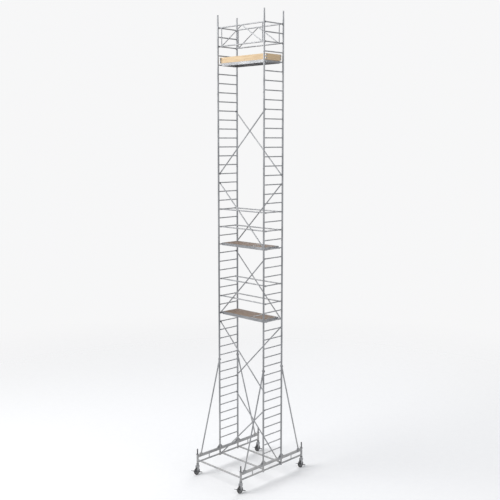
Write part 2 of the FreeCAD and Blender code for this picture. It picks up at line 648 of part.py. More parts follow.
hatch_parts = hatch_pieces()
DECK_RUNGS = (("lower", rung_height(1, 7)), ("middle", rung_height(2, 7)), ("top", rung_height(5, 3)))
for level, height in DECK_RUNGS:
    node(group("deck_frame_" + level, *deck_pieces, z=height), "platform_frame_" + level)
    node(group("deck_board_" + level, fixed_board, z=height), "platform_board_" + level)
    node(group("deck_hatch_" + level, *hatch_parts, z=height), "hatch_" + level)

TOE_Z = "%s + deck_rise" % rung_height(5, 3)
long_toes = mirrored_pair("toe_long", lambda name, sign: block(
    name, "toe_length", "toe_thickness", "toe_height",
    y="%d * (deck_width - toe_thickness) / 2" % sign, z=TOE_Z))
end_toes = mirrored_pair("toe_end", lambda name, sign: block(
    name, "toe_thickness", "deck_width - 2 * toe_thickness", "toe_height",
    x="%d * (toe_length - toe_thickness) / 2" % sign, z=TOE_Z))
node(group("toe_boards_long_pair", *long_toes), "toe_boards_long")
node(group("toe_boards_end_pair", *end_toes), "toe_boards_end")


# ---------------------------------------------------------------- locking pins
def locking_pin(name):
    """A pin through post and spigot along X, with its head on the -X side."""
    shank = rod(name + "_shank", "pin_diameter", "post_diameter + pin_tail + pin_head_reach",
                x="-post_diameter / 2 - pin_head_reach", axis=Y_AXIS, turn=90)
    head = rod(name + "_head", "pin_head_diameter", "pin_head_reach - pin_head_gap",
               x="-post_diameter / 2 - pin_head_reach", axis=Y_AXIS, turn=90)
    return fuse(name, shank, head)


pin_master = locking_pin("locking_pin")
pins = []
for joint in range(FRAMES):
    for x_sign in (-1, 1):
        for y_sign in (-1, 1):
            pins.append(group("pin_%d_%d_%d" % (joint, x_sign + 1, y_sign + 1), pin_master,
                              x="%d * bay_length / 2" % x_sign, y="%d * %s" % (y_sign, POST_Y),
                              z="joint_height + %d * lift_height + pin_height" % joint))
node(group("pins", *pins), "locking_pins")

# ---------------------------------------------------------------- castors
AXLE_Z = "wheel_diameter / 2"
AXLE_Y = "-castor_trail"
HEAD_TOP = "crown_height + crown_thickness + head_height"
FLANGE_TOP = "joint_height - stub_depth"
CHEEK_X = "cheek_gap / 2"
TYRE_IN = "wheel_diameter / 2 - tyre_depth"
RIM_IN = "wheel_diameter / 2 - tyre_depth - rim_thickness"
BORE_R = "axle_diameter / 2 + axle_fit"


def wheel_pieces():
    """A turned hub with disc and rim, and a tyre with rounded shoulders, about an axle along X."""
    hub = turned_body("wheel_hub", "XZ_Plane", [
        ("-hub_width / 2", BORE_R), ("hub_width / 2", BORE_R),
        ("hub_width / 2", "hub_diameter / 2"), ("web_thickness / 2", "hub_diameter / 2"),
        ("web_thickness / 2", RIM_IN), ("tyre_width / 2 - rim_inset", RIM_IN),
        ("tyre_width / 2 - rim_inset", TYRE_IN), ("-tyre_width / 2 + rim_inset", TYRE_IN),
        ("-tyre_width / 2 + rim_inset", RIM_IN), ("-web_thickness / 2", RIM_IN),
        ("-web_thickness / 2", "hub_diameter / 2"), ("-hub_width / 2", "hub_diameter / 2")], "H_Axis")
    shoulder, tread = "wheel_diameter / 2 - tyre_depth / 3", "wheel_diameter / 2 - tread_fall"
    tyre = turned_body("wheel_tyre", "XZ_Plane", [
        ("-tyre_width / 2", TYRE_IN + " + tyre_gap"), ("tyre_width / 2", TYRE_IN + " + tyre_gap"),
        ("tyre_width / 2", shoulder), ("tyre_width / 3", tread),
        ("tyre_width / 5", "wheel_diameter / 2"), ("-tyre_width / 5", "wheel_diameter / 2"),
        ("-tyre_width / 3", tread), ("-tyre_width / 2", shoulder)], "H_Axis")
    return [hub, tyre]


def fork_pieces():
    """Two pressed cheeks under a crown plate, the swivel head and the axle bolt."""
    high, low = AXLE_Z + " - cheek_foot + cheek_corner", AXLE_Z + " - cheek_foot"
    cheek_points = [
        (AXLE_Y + " - cheek_foot", high), (AXLE_Y + " - cheek_foot + cheek_corner", low),
        (AXLE_Y + " + cheek_foot - cheek_corner", low), (AXLE_Y + " + cheek_foot", high),
        ("head_diameter / 2", "crown_height - cheek_front"), ("head_diameter / 2", "crown_height"),
        ("-head_diameter / 2 - crown_overhang", "crown_height"),
        ("-head_diameter / 2 - cheek_back", "crown_height - cheek_back_drop")]
    cheeks = []
    for side, sign in (("right", 1), ("left", -1)):
        plate = padded_body("cheek_" + side, "YZ_Plane", cheek_points, "cheek_thickness")
        inner = CHEEK_X if sign > 0 else "-%s - cheek_thickness" % CHEEK_X
        place(plate, x=inner)
        hole = rod("cheek_hole_" + side, "axle_diameter + 2 * cheek_fit", "cheek_gap * 2",
                   x="-cheek_gap", y=AXLE_Y, z=AXLE_Z, axis=Y_AXIS, turn=90)
        cheeks.append(cut("cheek_drilled_" + side, plate, hole))
    crown = block("crown_plate", "cheek_gap + 2 * cheek_thickness",
                  "head_diameter + crown_overhang + 2 * crown_edge", "crown_thickness",
                  y="-crown_overhang / 2", z="crown_height")
    head = rod("swivel_head", "head_diameter", "head_height", z="crown_height + crown_thickness")
    king = rod("king_bore", "king_pin + 2 * king_fit", "2 * head_height + crown_thickness",
               z="crown_height - head_height / 2")
    crown_head = cut("crown_and_head", fuse("crown_blank", crown, head), king)
    reach = "cheek_gap / 2 + cheek_thickness + pedal_gap + pedal_thickness + bolt_gap"
    shank = rod("axle_shank", "axle_diameter", "2 * (%s)" % reach, x="-(%s)" % reach, y=AXLE_Y, z=AXLE_Z,
                axis=Y_AXIS, turn=90)
    heads = [rod("axle_head_right", "bolt_head_diameter", "bolt_head_height", x=reach,
                 y=AXLE_Y, z=AXLE_Z, axis=Y_AXIS, turn=90),
             rod("axle_head_left", "bolt_head_diameter", "bolt_head_height + pedal_gap + pedal_thickness",
                 x="-(%s) - bolt_head_height" % reach, y=AXLE_Y, z=AXLE_Z, axis=Y_AXIS, turn=90)]
    return cheeks + [crown_head, fuse("axle_bolt", shank, *heads)]


def stem_pieces():
    """The threaded spindle, its flange and the king pin below it, turned in one piece."""
    spindle = rod("spindle_rod", "spindle_diameter", "joint_height - (%s)" % FLANGE_TOP, z=FLANGE_TOP)
    flange_foot = FLANGE_TOP + " - flange_thickness"
    flange = rod("spindle_flange", "flange_diameter", "flange_thickness", z=flange_foot)
    king = rod("king_pin_rod", "king_pin", flange_foot + " - crown_height", z="crown_height")
    return fuse("spindle_stem", spindle, flange, king)


def nut_pieces():
    """The levelling nut on top of the sleeve, with two handles."""
    foot = "joint_height - sleeve_top_drop"
    barrel = rod("nut_barrel", "nut_diameter", "nut_height", z=foot)
    wings = block("nut_wings", "2 * wing_reach", "wing_width", "wing_height",
                  z=foot + " + (nut_height - wing_height) / 2")
    bore = rod("nut_bore", SLEEVE_BORE, "nut_height", z=foot)
    return cut("levelling_nut", fuse("nut_blank", barrel, wings), bore)


def pedal_pieces():
    """A rocker on the end of the axle with a foot pad at each end."""
    half = "pedal_width / 2"
    bar = padded_body("rocker", "YZ_Plane", [
        ("-pedal_front", "-" + half), ("pedal_back", "-" + half),
        ("pedal_back", half), ("-pedal_front", half)], "pedal_thickness")
    hole = rod("rocker_hole", "axle_diameter + 2 * axle_fit", "pedal_thickness * 3", x="-pedal_thickness",
               axis=Y_AXIS, turn=90)
    pads = [block("pad_front", "pad_width", "pad_length", "pad_thickness",
                  x="pedal_thickness - pad_width / 2", y="-pedal_front - pad_length / 2", z="-pad_thickness / 2"),
            block("pad_back", "pad_width", "pad_length", "pad_thickness",
                  x="pedal_thickness - pad_width / 2", y="pedal_back + pad_length / 2", z="-pad_thickness / 2")]
    return fuse("rocker_with_pads", cut("rocker_drilled", bar, hole), *pads)


castor_wheel = wheel_pieces()
castor_fork = fork_pieces()
castor_stem = stem_pieces()
castor_nut = nut_pieces()
castor_pedal = pedal_pieces()
for x_name, x_sign in (("left", -1), ("right", 1)):
    for y_name, y_sign in (("front", -1), ("back", 1)):
        corner = "%s_%s" % (x_name, y_name)
        place_x = "%d * bay_length / 2" % x_sign
        place_y = "%d * %s" % (y_sign, SLEEVE_Y)
        node(group("stem_" + corner, castor_stem, x=place_x, y=place_y), "spindle_" + corner)
        node(group("nut_" + corner, castor_nut, x=place_x, y=place_y), "levelling_nut_" + corner)
        node(group("fork_" + corner, *castor_fork, x=place_x, y=place_y), "castor_fork_" + corner)
        node(group("wheel_" + corner, *castor_wheel, x=place_x, y=place_y + " " + AXLE_Y.replace("-", "- "),
                   z=AXLE_Z), "castor_wheel_" + corner)
        node(group("pedal_" + corner, castor_pedal,
                   x=place_x + " + cheek_gap / 2 + cheek_thickness + pedal_gap",
                   y=place_y + " " + AXLE_Y.replace("-", "- "), z=AXLE_Z, axis=X_AXIS, turn="-pedal_tilt"),
             "brake_pedal_" + corner)

doc.recompute()

faults = [item.Name for item in doc.Objects if "Invalid" in item.State or "Error" in item.State]
faults += [item.Label for item in nodes if item.Shape.isNull() or not item.Shape.isValid()]
if faults:
    raise RuntimeError("not built: " + ", ".join(faults))

os.makedirs("parts", exist_ok=True)
for item in nodes:
    item.Shape.exportStep("parts/%s.step" % item.Label)
print("%d sub-parts written" % len(nodes))
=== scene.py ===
import math

import bmesh
import bpy
from mathutils import Matrix, Vector


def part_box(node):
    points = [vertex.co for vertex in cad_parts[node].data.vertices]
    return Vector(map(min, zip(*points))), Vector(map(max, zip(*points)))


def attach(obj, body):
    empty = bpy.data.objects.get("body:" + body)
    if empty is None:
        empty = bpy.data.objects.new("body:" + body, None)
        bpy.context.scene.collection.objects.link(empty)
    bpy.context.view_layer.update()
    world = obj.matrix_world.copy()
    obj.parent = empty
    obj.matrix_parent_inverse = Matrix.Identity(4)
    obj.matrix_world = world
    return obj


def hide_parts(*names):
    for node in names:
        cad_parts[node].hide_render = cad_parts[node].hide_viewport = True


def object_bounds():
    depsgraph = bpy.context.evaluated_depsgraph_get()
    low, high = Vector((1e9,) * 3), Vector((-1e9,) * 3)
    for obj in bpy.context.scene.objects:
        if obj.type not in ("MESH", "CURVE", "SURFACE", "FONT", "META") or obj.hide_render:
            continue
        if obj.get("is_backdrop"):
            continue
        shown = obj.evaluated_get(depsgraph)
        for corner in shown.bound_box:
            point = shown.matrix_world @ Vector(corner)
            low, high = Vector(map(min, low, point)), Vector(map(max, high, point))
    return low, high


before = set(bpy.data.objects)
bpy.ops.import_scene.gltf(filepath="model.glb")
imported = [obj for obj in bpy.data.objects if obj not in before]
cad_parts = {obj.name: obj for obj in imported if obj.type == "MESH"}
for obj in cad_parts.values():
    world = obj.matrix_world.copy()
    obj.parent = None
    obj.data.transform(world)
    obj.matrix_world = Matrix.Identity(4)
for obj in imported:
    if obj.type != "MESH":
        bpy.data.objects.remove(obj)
cad_low, cad_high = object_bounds()


# ------------ camera, light and floor
# A studio with a pale sweep underfoot, one large soft key from the upper left, a weak fill, a light from
# behind and an even sky. The camera stands where a pinhole fitted to the drawing puts it.
CAMERA_HEADING = math.radians(-44.77)
CAMERA_PITCH = math.radians(-7.74)
CAMERA_PLACE = (15.742, -15.870, 9.529)
CAMERA_LENS = 57.8
FILM_WIDTH = 36
FAR_LIMIT = 400
FLOOR_RADIUS = 40
FLOOR_FADE = (3, 22)
FLOOR_GAP = 0.0005
SKY_LIT = (0.50, 0.51, 0.53, 1)
SKY_SEEN = (0.93, 0.93, 0.935, 1)


def placed(name, data, place=(0, 0, 0)):
    """A new object in the scene."""
    item = bpy.data.objects.new(name, data)
    item.location = place
    bpy.context.scene.collection.objects.link(item)
    return item


def aimed(name, data, place, way):
    """A camera or lamp at a place, looking one way."""
    item = placed(name, data, place)
    item.rotation_mode = "QUATERNION"
    item.rotation_quaternion = way.to_track_quat("-Z", "Y")
    return item


sight = Vector((math.sin(CAMERA_HEADING) * math.cos(CAMERA_PITCH),
                math.cos(CAMERA_HEADING) * math.cos(CAMERA_PITCH), math.sin(CAMERA_PITCH)))
camera = aimed("camera", bpy.data.cameras.new("camera"), CAMERA_PLACE, sight)
camera.data.lens = CAMERA_LENS
camera.data.sensor_width = FILM_WIDTH
camera.data.clip_end = FAR_LIMIT
bpy.context.scene.camera = camera
bpy.context.scene.view_settings.view_transform = "Standard"


def soft_light(name, place, aim, size, power):
    lamp = aimed(name, bpy.data.lights.new(name, "AREA"), place, Vector(aim) - Vector(place))
    lamp.data.shape = "DISK"
    lamp.data.size = size
    lamp.data.energy = power


soft_light("key", (-9, -16, 20), (0, 0, 2), 17, 4300)
soft_light("fill", (17, 4, 12), (0, 0, 3), 14, 600)
soft_light("back", (-6, 16, 16), (0, 0, 3), 14, 1100)


class Signal:
    """A socket of a material under construction: sums on it add Math nodes."""

    def __init__(self, work, socket):
        self.work, self.socket = work, socket

    def sum(self, operation, *others):
        values = dict(enumerate((self,) + others))
        return self.work.add("ShaderNodeMath", {"operation": operation}, values)

    def __add__(self, other):
        return self.sum("ADD", other)

    def __sub__(self, other):
        return self.sum("SUBTRACT", other)

    def __mul__(self, other):
        return self.sum("MULTIPLY", other)

    def __truediv__(self, other):
        return self.sum("DIVIDE", other)

    def __rsub__(self, other):
        return self.sum("MULTIPLY", -1) + other

    __radd__, __rmul__ = __add__, __mul__

    def ramp(self, low, high):
        """0 below low and 1 above high, with a smooth step between."""
        settings = {"interpolation_type": "SMOOTHSTEP", "clamp": True}
        values = {"Value": self, "From Min": low, "From Max": high}
        return self.work.add("ShaderNodeMapRange", settings, values)


class Finish:
    """A material under construction, with one Principled shader."""

    def __init__(self, name, colour, roughness, metallic=0.0):
        self.material = bpy.data.materials.new(name)
        self.material.use_nodes = True
        self.tree = self.material.node_tree
        self.shader = self.tree.nodes["Principled BSDF"]
        self.set("Base Color", (*colour, 1))
        self.set("Roughness", roughness)
        self.set("Metallic", metallic)
        self.place = self.add("ShaderNodeTexCoord", output="Object")

    def set(self, socket, value):
        target = self.shader.inputs[socket]
        if isinstance(value, Signal):
            self.tree.links.new(value.socket, target)
        else:
            target.default_value = value

    def add(self, kind, settings=None, values=None, output=0):
        """Any node: its settings first, then the values or links of its sockets."""
        node = self.tree.nodes.new(kind)
        for name, value in (settings or {}).items():
            setattr(node, name, value)
        for name, value in (values or {}).items():
            if isinstance(value, Signal):
                self.tree.links.new(value.socket, node.inputs[name])
            else:
                node.inputs[name].default_value = value
        return Signal(self, node.outputs[output])

    def noise(self, scale, stretch=(1, 1, 1), detail=3.0):
        """Soft noise in metres, drawn out along the axes whose stretch is small."""
        spread = self.add("ShaderNodeMapping", values={"Vector": self.place, "Scale": stretch})
        values = {"Vector": spread, "Scale": scale, "Detail": detail, "Roughness": 0.55}
        return self.add("ShaderNodeTexNoise", values=values, output="Fac")

    def axis(self, letter):
        return self.add("ShaderNodeSeparateXYZ", values={"Vector": self.place}, output=letter)

    def facing(self, letter):
        """How squarely the surface faces along one axis, either way."""
        normal = self.add("ShaderNodeNewGeometry", output="Normal")
        part = self.add("ShaderNodeSeparateXYZ", values={"Vector": normal}, output=letter)
        return part.sum("ABSOLUTE")

    def tint(self, share, first, second):
        """One colour turning into another as share goes from 0 to 1."""
        values = {0: share}
        for socket, colour in ((6, first), (7, second)):
            values[socket] = colour if isinstance(colour, Signal) else (*colour, 1)
        return self.add("ShaderNodeMix", {"data_type": "RGBA"}, values, output=2)

    def coat(self, colour, roughness, relief, depth, reach):
        """Sets the colour, the roughness and the relief, and gives the finished material."""
        self.set("Base Color", colour)
        self.set("Roughness", roughness)
        values = {"Height": relief, "Strength": depth, "Distance": reach}
        self.set("Normal", self.add("ShaderNodeBump", values=values))
        return self.material


def pale_floor():
    """Matt pale sweep that fades out far from the tower."""
    work = Finish("studio_floor", (0.86, 0.86, 0.86), 0.7)
    work.set("Base Color", work.tint(work.noise(6), (0.88, 0.88, 0.885), (0.92, 0.92, 0.92)))
    distance = work.add("ShaderNodeVectorMath", {"operation": "LENGTH"}, {0: work.place}, output="Value")
    clear = work.add("ShaderNodeBsdfTransparent")
    values = {0: distance.ramp(*FLOOR_FADE), 1: Signal(work, work.shader.outputs[0]), 2: clear}
    mixed = work.add("ShaderNodeMixShader", values=values)
    work.tree.links.new(mixed.socket, work.tree.nodes["Material Output"].inputs["Surface"])
    return work.material


floor_mesh = bmesh.new()
bmesh.ops.create_circle(floor_mesh, cap_ends=True, segments=96, radius=FLOOR_RADIUS)
floor_data = bpy.data.meshes.new("floor")
floor_mesh.to_mesh(floor_data)
floor_data.materials.append(pale_floor())
floor = placed("floor", floor_data, (0, 0, cad_low.z - FLOOR_GAP))
floor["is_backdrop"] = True

sky = bpy.data.worlds.new("sky")
sky.use_nodes = True
bpy.context.scene.world = sky
sky_nodes, sky_links = sky.node_tree.nodes, sky.node_tree.links
lit = sky_nodes["Background"]
seen = sky_nodes.new("ShaderNodeBackground")
lit.inputs["Color"].default_value = SKY_LIT
seen.inputs["Color"].default_value = SKY_SEEN
both = sky_nodes.new("ShaderNodeMixShader")
sources = (sky_nodes.new("ShaderNodeLightPath").outputs["Is Camera Ray"], lit.outputs[0], seen.outputs[0])
for source, socket in zip(sources, both.inputs):
    sky_links.new(source, socket)
sky_links.new(both.outputs[0], sky_nodes["World Output"].inputs["Surface"])


# ------------ ladder frames
# Twelve welded frames of drawn aluminium tube: two posts, eight ribbed rungs and two spigots each. Every rung
# is welded to its posts all round, and the tube is dull from weather, paler where hands and boots rub it.
FRAME_LEVELS = 6
RUNG_COUNT = 8
FIRST_RUNG = 0.100
RUNG_PITCH = 0.250
RUNG_RADIUS = 0.016
RIB_COUNT = 20
POST_RADIUS = 0.025
BEAD_RADIUS = 0.0024
BEAD_SIDES = 6
BEAD_STEPS = 20
CREASE = math.radians(32)
X_WAY, Y_WAY, Z_WAY = Vector((1, 0, 0)), Vector((0, 1, 0)), Vector((0, 0, 1))

frame_low, frame_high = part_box("ladder_frame_left_1")
POST_Y = frame_high.y - POST_RADIUS
BAY_X = abs(frame_low.x + frame_high.x) / 2
SIDES = (("left", -BAY_X), ("right", BAY_X))
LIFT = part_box("ladder_frame_left_2")[0].z - frame_low.z
RIBS_END = POST_Y - POST_RADIUS - 0.012


def aluminium(name, ribbed=False):
    """Mill-finish tube: draw lines, cloudy oxide, handling scratches and a dusty film near the ground."""
    work = Finish(name, (0.50, 0.505, 0.515), 0.36, metallic=1.0)
    cloud = work.noise(5, (1, 1, 0.4), detail=5)
    oxide = work.noise(55, (1, 1, 0.5), detail=4)
    streak = work.noise(220, (1, 1, 0.02))
    scratch = work.noise(900, (1, 0.15, 1), detail=1).ramp(0.66, 0.7)
    body = work.tint(cloud.ramp(0.35, 0.7), (0.34, 0.345, 0.355), (0.48, 0.485, 0.495))
    body = work.tint(oxide.ramp(0.45, 0.75) * 0.45, body, (0.27, 0.275, 0.28))
    body = work.tint(scratch * 0.35, body, (0.80, 0.805, 0.81))
    dust = (1 - work.axis("Z").ramp(0.2, 1.6)) * cloud.ramp(0.3, 0.6)
    work.set("Metallic", 1 - dust * 0.35)
    relief = streak * 0.5 + oxide * 0.3
    if ribbed:
        step = (work.axis("Z") - (frame_low.z + FIRST_RUNG - RUNG_PITCH / 2)) / RUNG_PITCH
        rise = (step.sum("FRACT") - 0.5) * RUNG_PITCH
        turn = rise.sum("ARCTAN2", work.axis("X").sum("ABSOLUTE") - BAY_X)
        on_rung = 1 - work.axis("Y").sum("ABSOLUTE").ramp(RIBS_END, RIBS_END + 0.002)
        relief = relief + (turn * RIB_COUNT).sum("SINE").ramp(-0.2, 0.6) * on_rung * 2.0
    roughness = 0.34 + cloud * 0.18 + oxide * 0.14 - scratch * 0.08
    return work.coat(work.tint(dust * 0.4, body, (0.42, 0.40, 0.37)), roughness, relief, 0.5, 0.0007)


def weld_metal():
    """Aluminium weld: bright and rippled."""
    work = Finish("weld_bead", (0.6, 0.61, 0.62), 0.42, metallic=1.0)
    ripple = work.noise(700, detail=2)
    colour = work.tint(ripple.ramp(0.4, 0.65), (0.40, 0.40, 0.41), (0.72, 0.72, 0.73))
    return work.coat(colour, 0.3 + ripple * 0.25, ripple, 0.6, 0.0006)


tube_metal = aluminium("aluminium_tube_plain")
rung_metal = aluminium("aluminium_tube_ribbed", ribbed=True)
weld = weld_metal()


def turns(count):
    """Equal steps once round."""
    return [2 * math.pi * step / count for step in range(count)]


def circle(centre, first, second, radius, count):
    """Points round a centre, in the plane of two directions."""
    return [centre + radius * (math.cos(turn) * first + math.sin(turn) * second) for turn in turns(count)]


class Piece:
    """One piece under construction: shapes are added to its mesh, and done() makes the object."""

    def __init__(self):
        self.mesh = bmesh.new()

    def ring(self, points):
        return [self.mesh.verts.new(point) for point in points]

    def skin(self, rings, closed=False):
        """Joins a row of rings into a tube, capped unless it closes on itself."""
        count = len(rings[0])
        pairs = list(zip(rings, rings[1:])) + ([(rings[-1], rings[0])] if closed else [])
        for first, second in pairs:
            for index in range(count):
                after = (index + 1) % count
                self.mesh.faces.new((first[index], first[after], second[after], second[index]))
        if not closed:
            self.mesh.faces.new(list(reversed(rings[0])))
            self.mesh.faces.new(rings[-1])

    def bar(self, path, radius, sides=8, closed=False):
        """A round wire along a path."""
        path = [Vector(point) for point in path]
        rings, across = [], None
        for index, point in enumerate(path):
            before = path[index - 1] if closed or index else point
            after = path[(index + 1) % len(path)] if closed or index < len(path) - 1 else point
            ahead = (after - before).normalized()
            if across is None:
                across = ahead.orthogonal().normalized()
            across = (across - ahead * across.dot(ahead)).normalized()
            rings.append(self.ring(circle(point, across, ahead.cross(across), radius, sides)))
        self.skin(rings, closed)

    def lathe(self, profile, centre=(0, 0, 0), axis="Z", segments=40, bored=False):
        """A profile of (along, radius) turned about an axis through centre; a bored one closes on itself."""
        along, out = {"X": (X_WAY, Y_WAY), "Y": (Y_WAY, Z_WAY), "Z": (Z_WAY, X_WAY)}[axis]
        side = along.cross(out)
        self.skin([self.ring(circle(Vector(centre) + along * place, out, side, radius, segments))
                   for place, radius in profile], closed=bored)

    def block(self, start, end, edge=0.0015, turn=None, at=(0, 0, 0)):
        """A box between opposite corners, measured from at, with rounded edges; turned about its middle."""
        start, end = Vector(at) + Vector(start), Vector(at) + Vector(end)
        made = bmesh.ops.create_cube(self.mesh, size=1)["verts"]
        size, middle = [abs(span) for span in end - start], (start + end) / 2
        for vert in made:
            vert.co = [share * span for share, span in zip(vert.co, size)]
        edges = {line for vert in made for line in vert.link_edges}
        made = bmesh.ops.bevel(self.mesh, geom=list(edges), offset=edge, segments=2, affect="EDGES")["verts"]
        spin = turn or Matrix.Identity(3)
        for vert in made:
            vert.co = middle + spin @ vert.co

    def slab(self, outline, start, end, axis="X", edge=0.0012):
        """A flat plate across an axis, its outline given in the two other coordinates, with rounded edges."""
        order = {"X": (2, 0, 1), "Y": (0, 2, 1)}[axis]
        rings = [self.ring([Vector([(*point, level)[k] for k in order]) for point in outline])
                 for level in sorted((start, end))]
        self.skin(rings)
        if edge:
            rims = [self.mesh.edges.get(pair) for ring in rings for pair in zip(ring, ring[1:] + ring[:1])]
            bmesh.ops.bevel(self.mesh, geom=rims, offset=edge, segments=2, affect="EDGES")

    def move(self, matrix):
        """Turns and shifts everything made so far."""
        bmesh.ops.transform(self.mesh, matrix=matrix, verts=self.mesh.verts)

    def done(self, name, material, body="tower", slot="aluminium_tube", *replaced):
        """Makes the object; most pieces are small parts on the tower's aluminium tubes. The slot is not used.
        """
        bmesh.ops.recalc_face_normals(self.mesh, faces=self.mesh.faces)
        data = bpy.data.meshes.new(name)
        self.mesh.to_mesh(data)
        self.mesh.free()
        data.materials.append(material)
        piece = placed(name, data)
        data.shade_smooth()
        data.set_sharp_from_angle(angle=CREASE)
        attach(piece, body)
        if replaced:
            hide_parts(*replaced)


def dress(node, material):
    """Gives a CAD node its finish."""
    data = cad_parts[node].data
    data.materials.clear()
    data.materials.append(material)


def bead(piece, path, closed=True):
    piece.bar(path, BEAD_RADIUS, BEAD_SIDES, closed)


def seam(piece, centre, out, along, small, big):
    """A weld bead where a small tube leaves a big one, on whose axis centre lies, or a flat when big is 0."""
    side = out.cross(along)
    path = []
    for turn in turns(BEAD_STEPS):
        shift = small * math.sin(turn)
        depth = math.sqrt(big ** 2 - shift ** 2) if big else 0
        path.append(centre + small * math.cos(turn) * along + shift * side + depth * out)
    bead(piece, path)


for side, _ in SIDES:
    for level in range(1, FRAME_LEVELS + 1):
        node = "ladder_frame_%s_%d" % (side, level)
        dress(node, rung_metal)
        low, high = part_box(node)
        beads, middle = Piece(), (low.x + high.x) / 2
        for index in range(RUNG_COUNT):
            for sign in (-1, 1):
                place = Vector((middle, sign * POST_Y, low.z + FIRST_RUNG + index * RUNG_PITCH))
                seam(beads, place, -sign * Y_WAY, Z_WAY, RUNG_RADIUS, POST_RADIUS)
        beads.done("rung_welds_%s_%d" % (side, level), weld)


# ------------ base beams and base tubes
# Two lattice beams of aluminium box and tube carry the first frames on two stub posts each; three tubes tie
# them together. Chords, uprights and gussets are welded, and the open feet of the stub posts have plastic
# plugs.
JOINT_Z = frame_low.z
STUB_FOOT_Z = JOINT_Z - 0.430
TOP_CHORD_Z = JOINT_Z - 0.224
TOP_CHORD_HALF = (0.020, 0.036)
TOP_CHORD_UPPER = TOP_CHORD_Z + TOP_CHORD_HALF[1]
BOTTOM_CHORD_Z = JOINT_Z - 0.392
BOTTOM_CHORD_RADIUS = 0.024
SLEEVE_Y = 1.250
SLEEVE_RADIUS = 0.030
UPRIGHT_Y = POST_Y + 0.430
UPRIGHT_RADIUS = 0.0125
GUSSET_HALF = 0.004
GUSSET_REACH = 0.093
BASE_TUBE_RADIUS = 0.024
BASE_TUBE_HOLDERS = {"base_tube_end": SLEEVE_RADIUS, "base_tube_front": POST_RADIUS,
                     "base_tube_back": POST_RADIUS}
PLUG = ((-0.003, 0), (-0.003, 0.0235), (-0.0015, 0.025), (0, 0.025), (0, 0.0222), (0.012, 0.0218), (0.012, 0))


def black_plastic():
    """Moulded polyethylene: fine grain, scuffed paler in places."""
    work = Finish("black_plastic", (0.03, 0.03, 0.032), 0.5)
    grain = work.noise(1500, detail=2)
    scuff = work.noise(60).ramp(0.55, 0.75)
    colour = work.tint(scuff * 0.5, (0.025, 0.025, 0.027), (0.10, 0.10, 0.10))
    return work.coat(colour, 0.42 + grain * 0.2, grain, 0.4, 0.0003)


def box_seam(piece, x, tube_y, way, tube_radius):
    """A weld bead round the box of the top chord, where it meets one face of an upright tube."""
    half_x, half_z = TOP_CHORD_HALF
    corners = [(-half_x, -half_z), (half_x, -half_z), (half_x, half_z), (-half_x, half_z)]
    path = []
    for (ax, az), (bx, bz) in zip(corners, corners[1:] + corners[:1]):
        for share in (0, 0.25, 0.5, 0.75):
            px, pz = ax + (bx - ax) * share, az + (bz - az) * share
            py = tube_y + way * math.sqrt(tube_radius ** 2 - px ** 2)
            path.append((x + px, py, TOP_CHORD_Z + pz))
    bead(piece, path)


plastic = black_plastic()

for node in ("base_beam_left", "base_beam_right", *BASE_TUBE_HOLDERS):
    dress(node, tube_metal)

for name, x in SIDES:
    beads, plugs = Piece(), Piece()
    for sign in (-1, 1):
        for way, tube_y, tube_radius in ((-sign, POST_Y, POST_RADIUS), (sign, POST_Y, POST_RADIUS),
                                         (-sign, SLEEVE_Y, SLEEVE_RADIUS)):
            box_seam(beads, x, sign * tube_y, way, tube_radius)
            centre = Vector((x, sign * tube_y, BOTTOM_CHORD_Z))
            seam(beads, centre, way * Y_WAY, Z_WAY, BOTTOM_CHORD_RADIUS, tube_radius)
        foot = Vector((x, sign * UPRIGHT_Y, BOTTOM_CHORD_Z))
        seam(beads, foot, Z_WAY, Y_WAY, UPRIGHT_RADIUS, BOTTOM_CHORD_RADIUS)
        head = Vector((x, sign * UPRIGHT_Y, TOP_CHORD_Z - TOP_CHORD_HALF[1]))
        seam(beads, head, -Z_WAY, Y_WAY, UPRIGHT_RADIUS, 0)
        for way in (-1, 1):
            for face in (-GUSSET_HALF, GUSSET_HALF):
                corner = Vector((x + face, sign * POST_Y + way * POST_RADIUS, TOP_CHORD_UPPER))
                for leg in (Z_WAY, way * Y_WAY):
                    bead(beads, (corner, corner + GUSSET_REACH * leg), closed=False)
        plugs.lathe(PLUG, (x, sign * POST_Y, STUB_FOOT_Z))
    beads.done("base_beam_welds_" + name, weld)
    plugs.done("stub_plugs_" + name, plastic)

beads = Piece()
for node, radius in BASE_TUBE_HOLDERS.items():
    low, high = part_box(node)
    middle = (low + high) / 2
    for sign in (-1, 1):
        place = Vector((sign * BAY_X, middle.y, middle.z))
        seam(beads, place, -sign * X_WAY, Z_WAY, BASE_TUBE_RADIUS, radius)
beads.done("base_tube_welds", weld)


# ------------ struts
# Four sloping tubes from the ends of the base beams to a clamp on each post: a cast ring that closes round
# the post with two eye bolts, and a block strapped to the top chord with two cross bolts.
STRUT_TOP = JOINT_Z + 2.480
STRUT_FOOT_Y = 1.115
EAR_X = 0.040
LIP_THICKNESS = 0.006
STRAP_FACE = 0.027
BOLT_ACROSS = 0.013
HEAD_LENGTH = 0.0055
EYE_BOLT = ((-0.013, 0), (-0.013, 0.004), (0.018, 0.004), (0.018, 0))


def zinc_steel(name, dark, light, roughness):
    """Zinc plating: small bright and dull patches, a little dirt in the hollows."""
    work = Finish(name, light, roughness, metallic=1.0)
    patch = work.noise(140, detail=4)
    dirt = work.noise(38).ramp(0.5, 0.8)
    colour = work.tint(dirt * 0.35, work.tint(patch.ramp(0.35, 0.65), dark, light), (0.16, 0.15, 0.14))
    return work.coat(colour, roughness - 0.08 + patch * 0.2 + dirt * 0.12, patch, 0.35, 0.0004)


bright_zinc = zinc_steel("bright_zinc", (0.40, 0.405, 0.41), (0.52, 0.525, 0.535), 0.34)


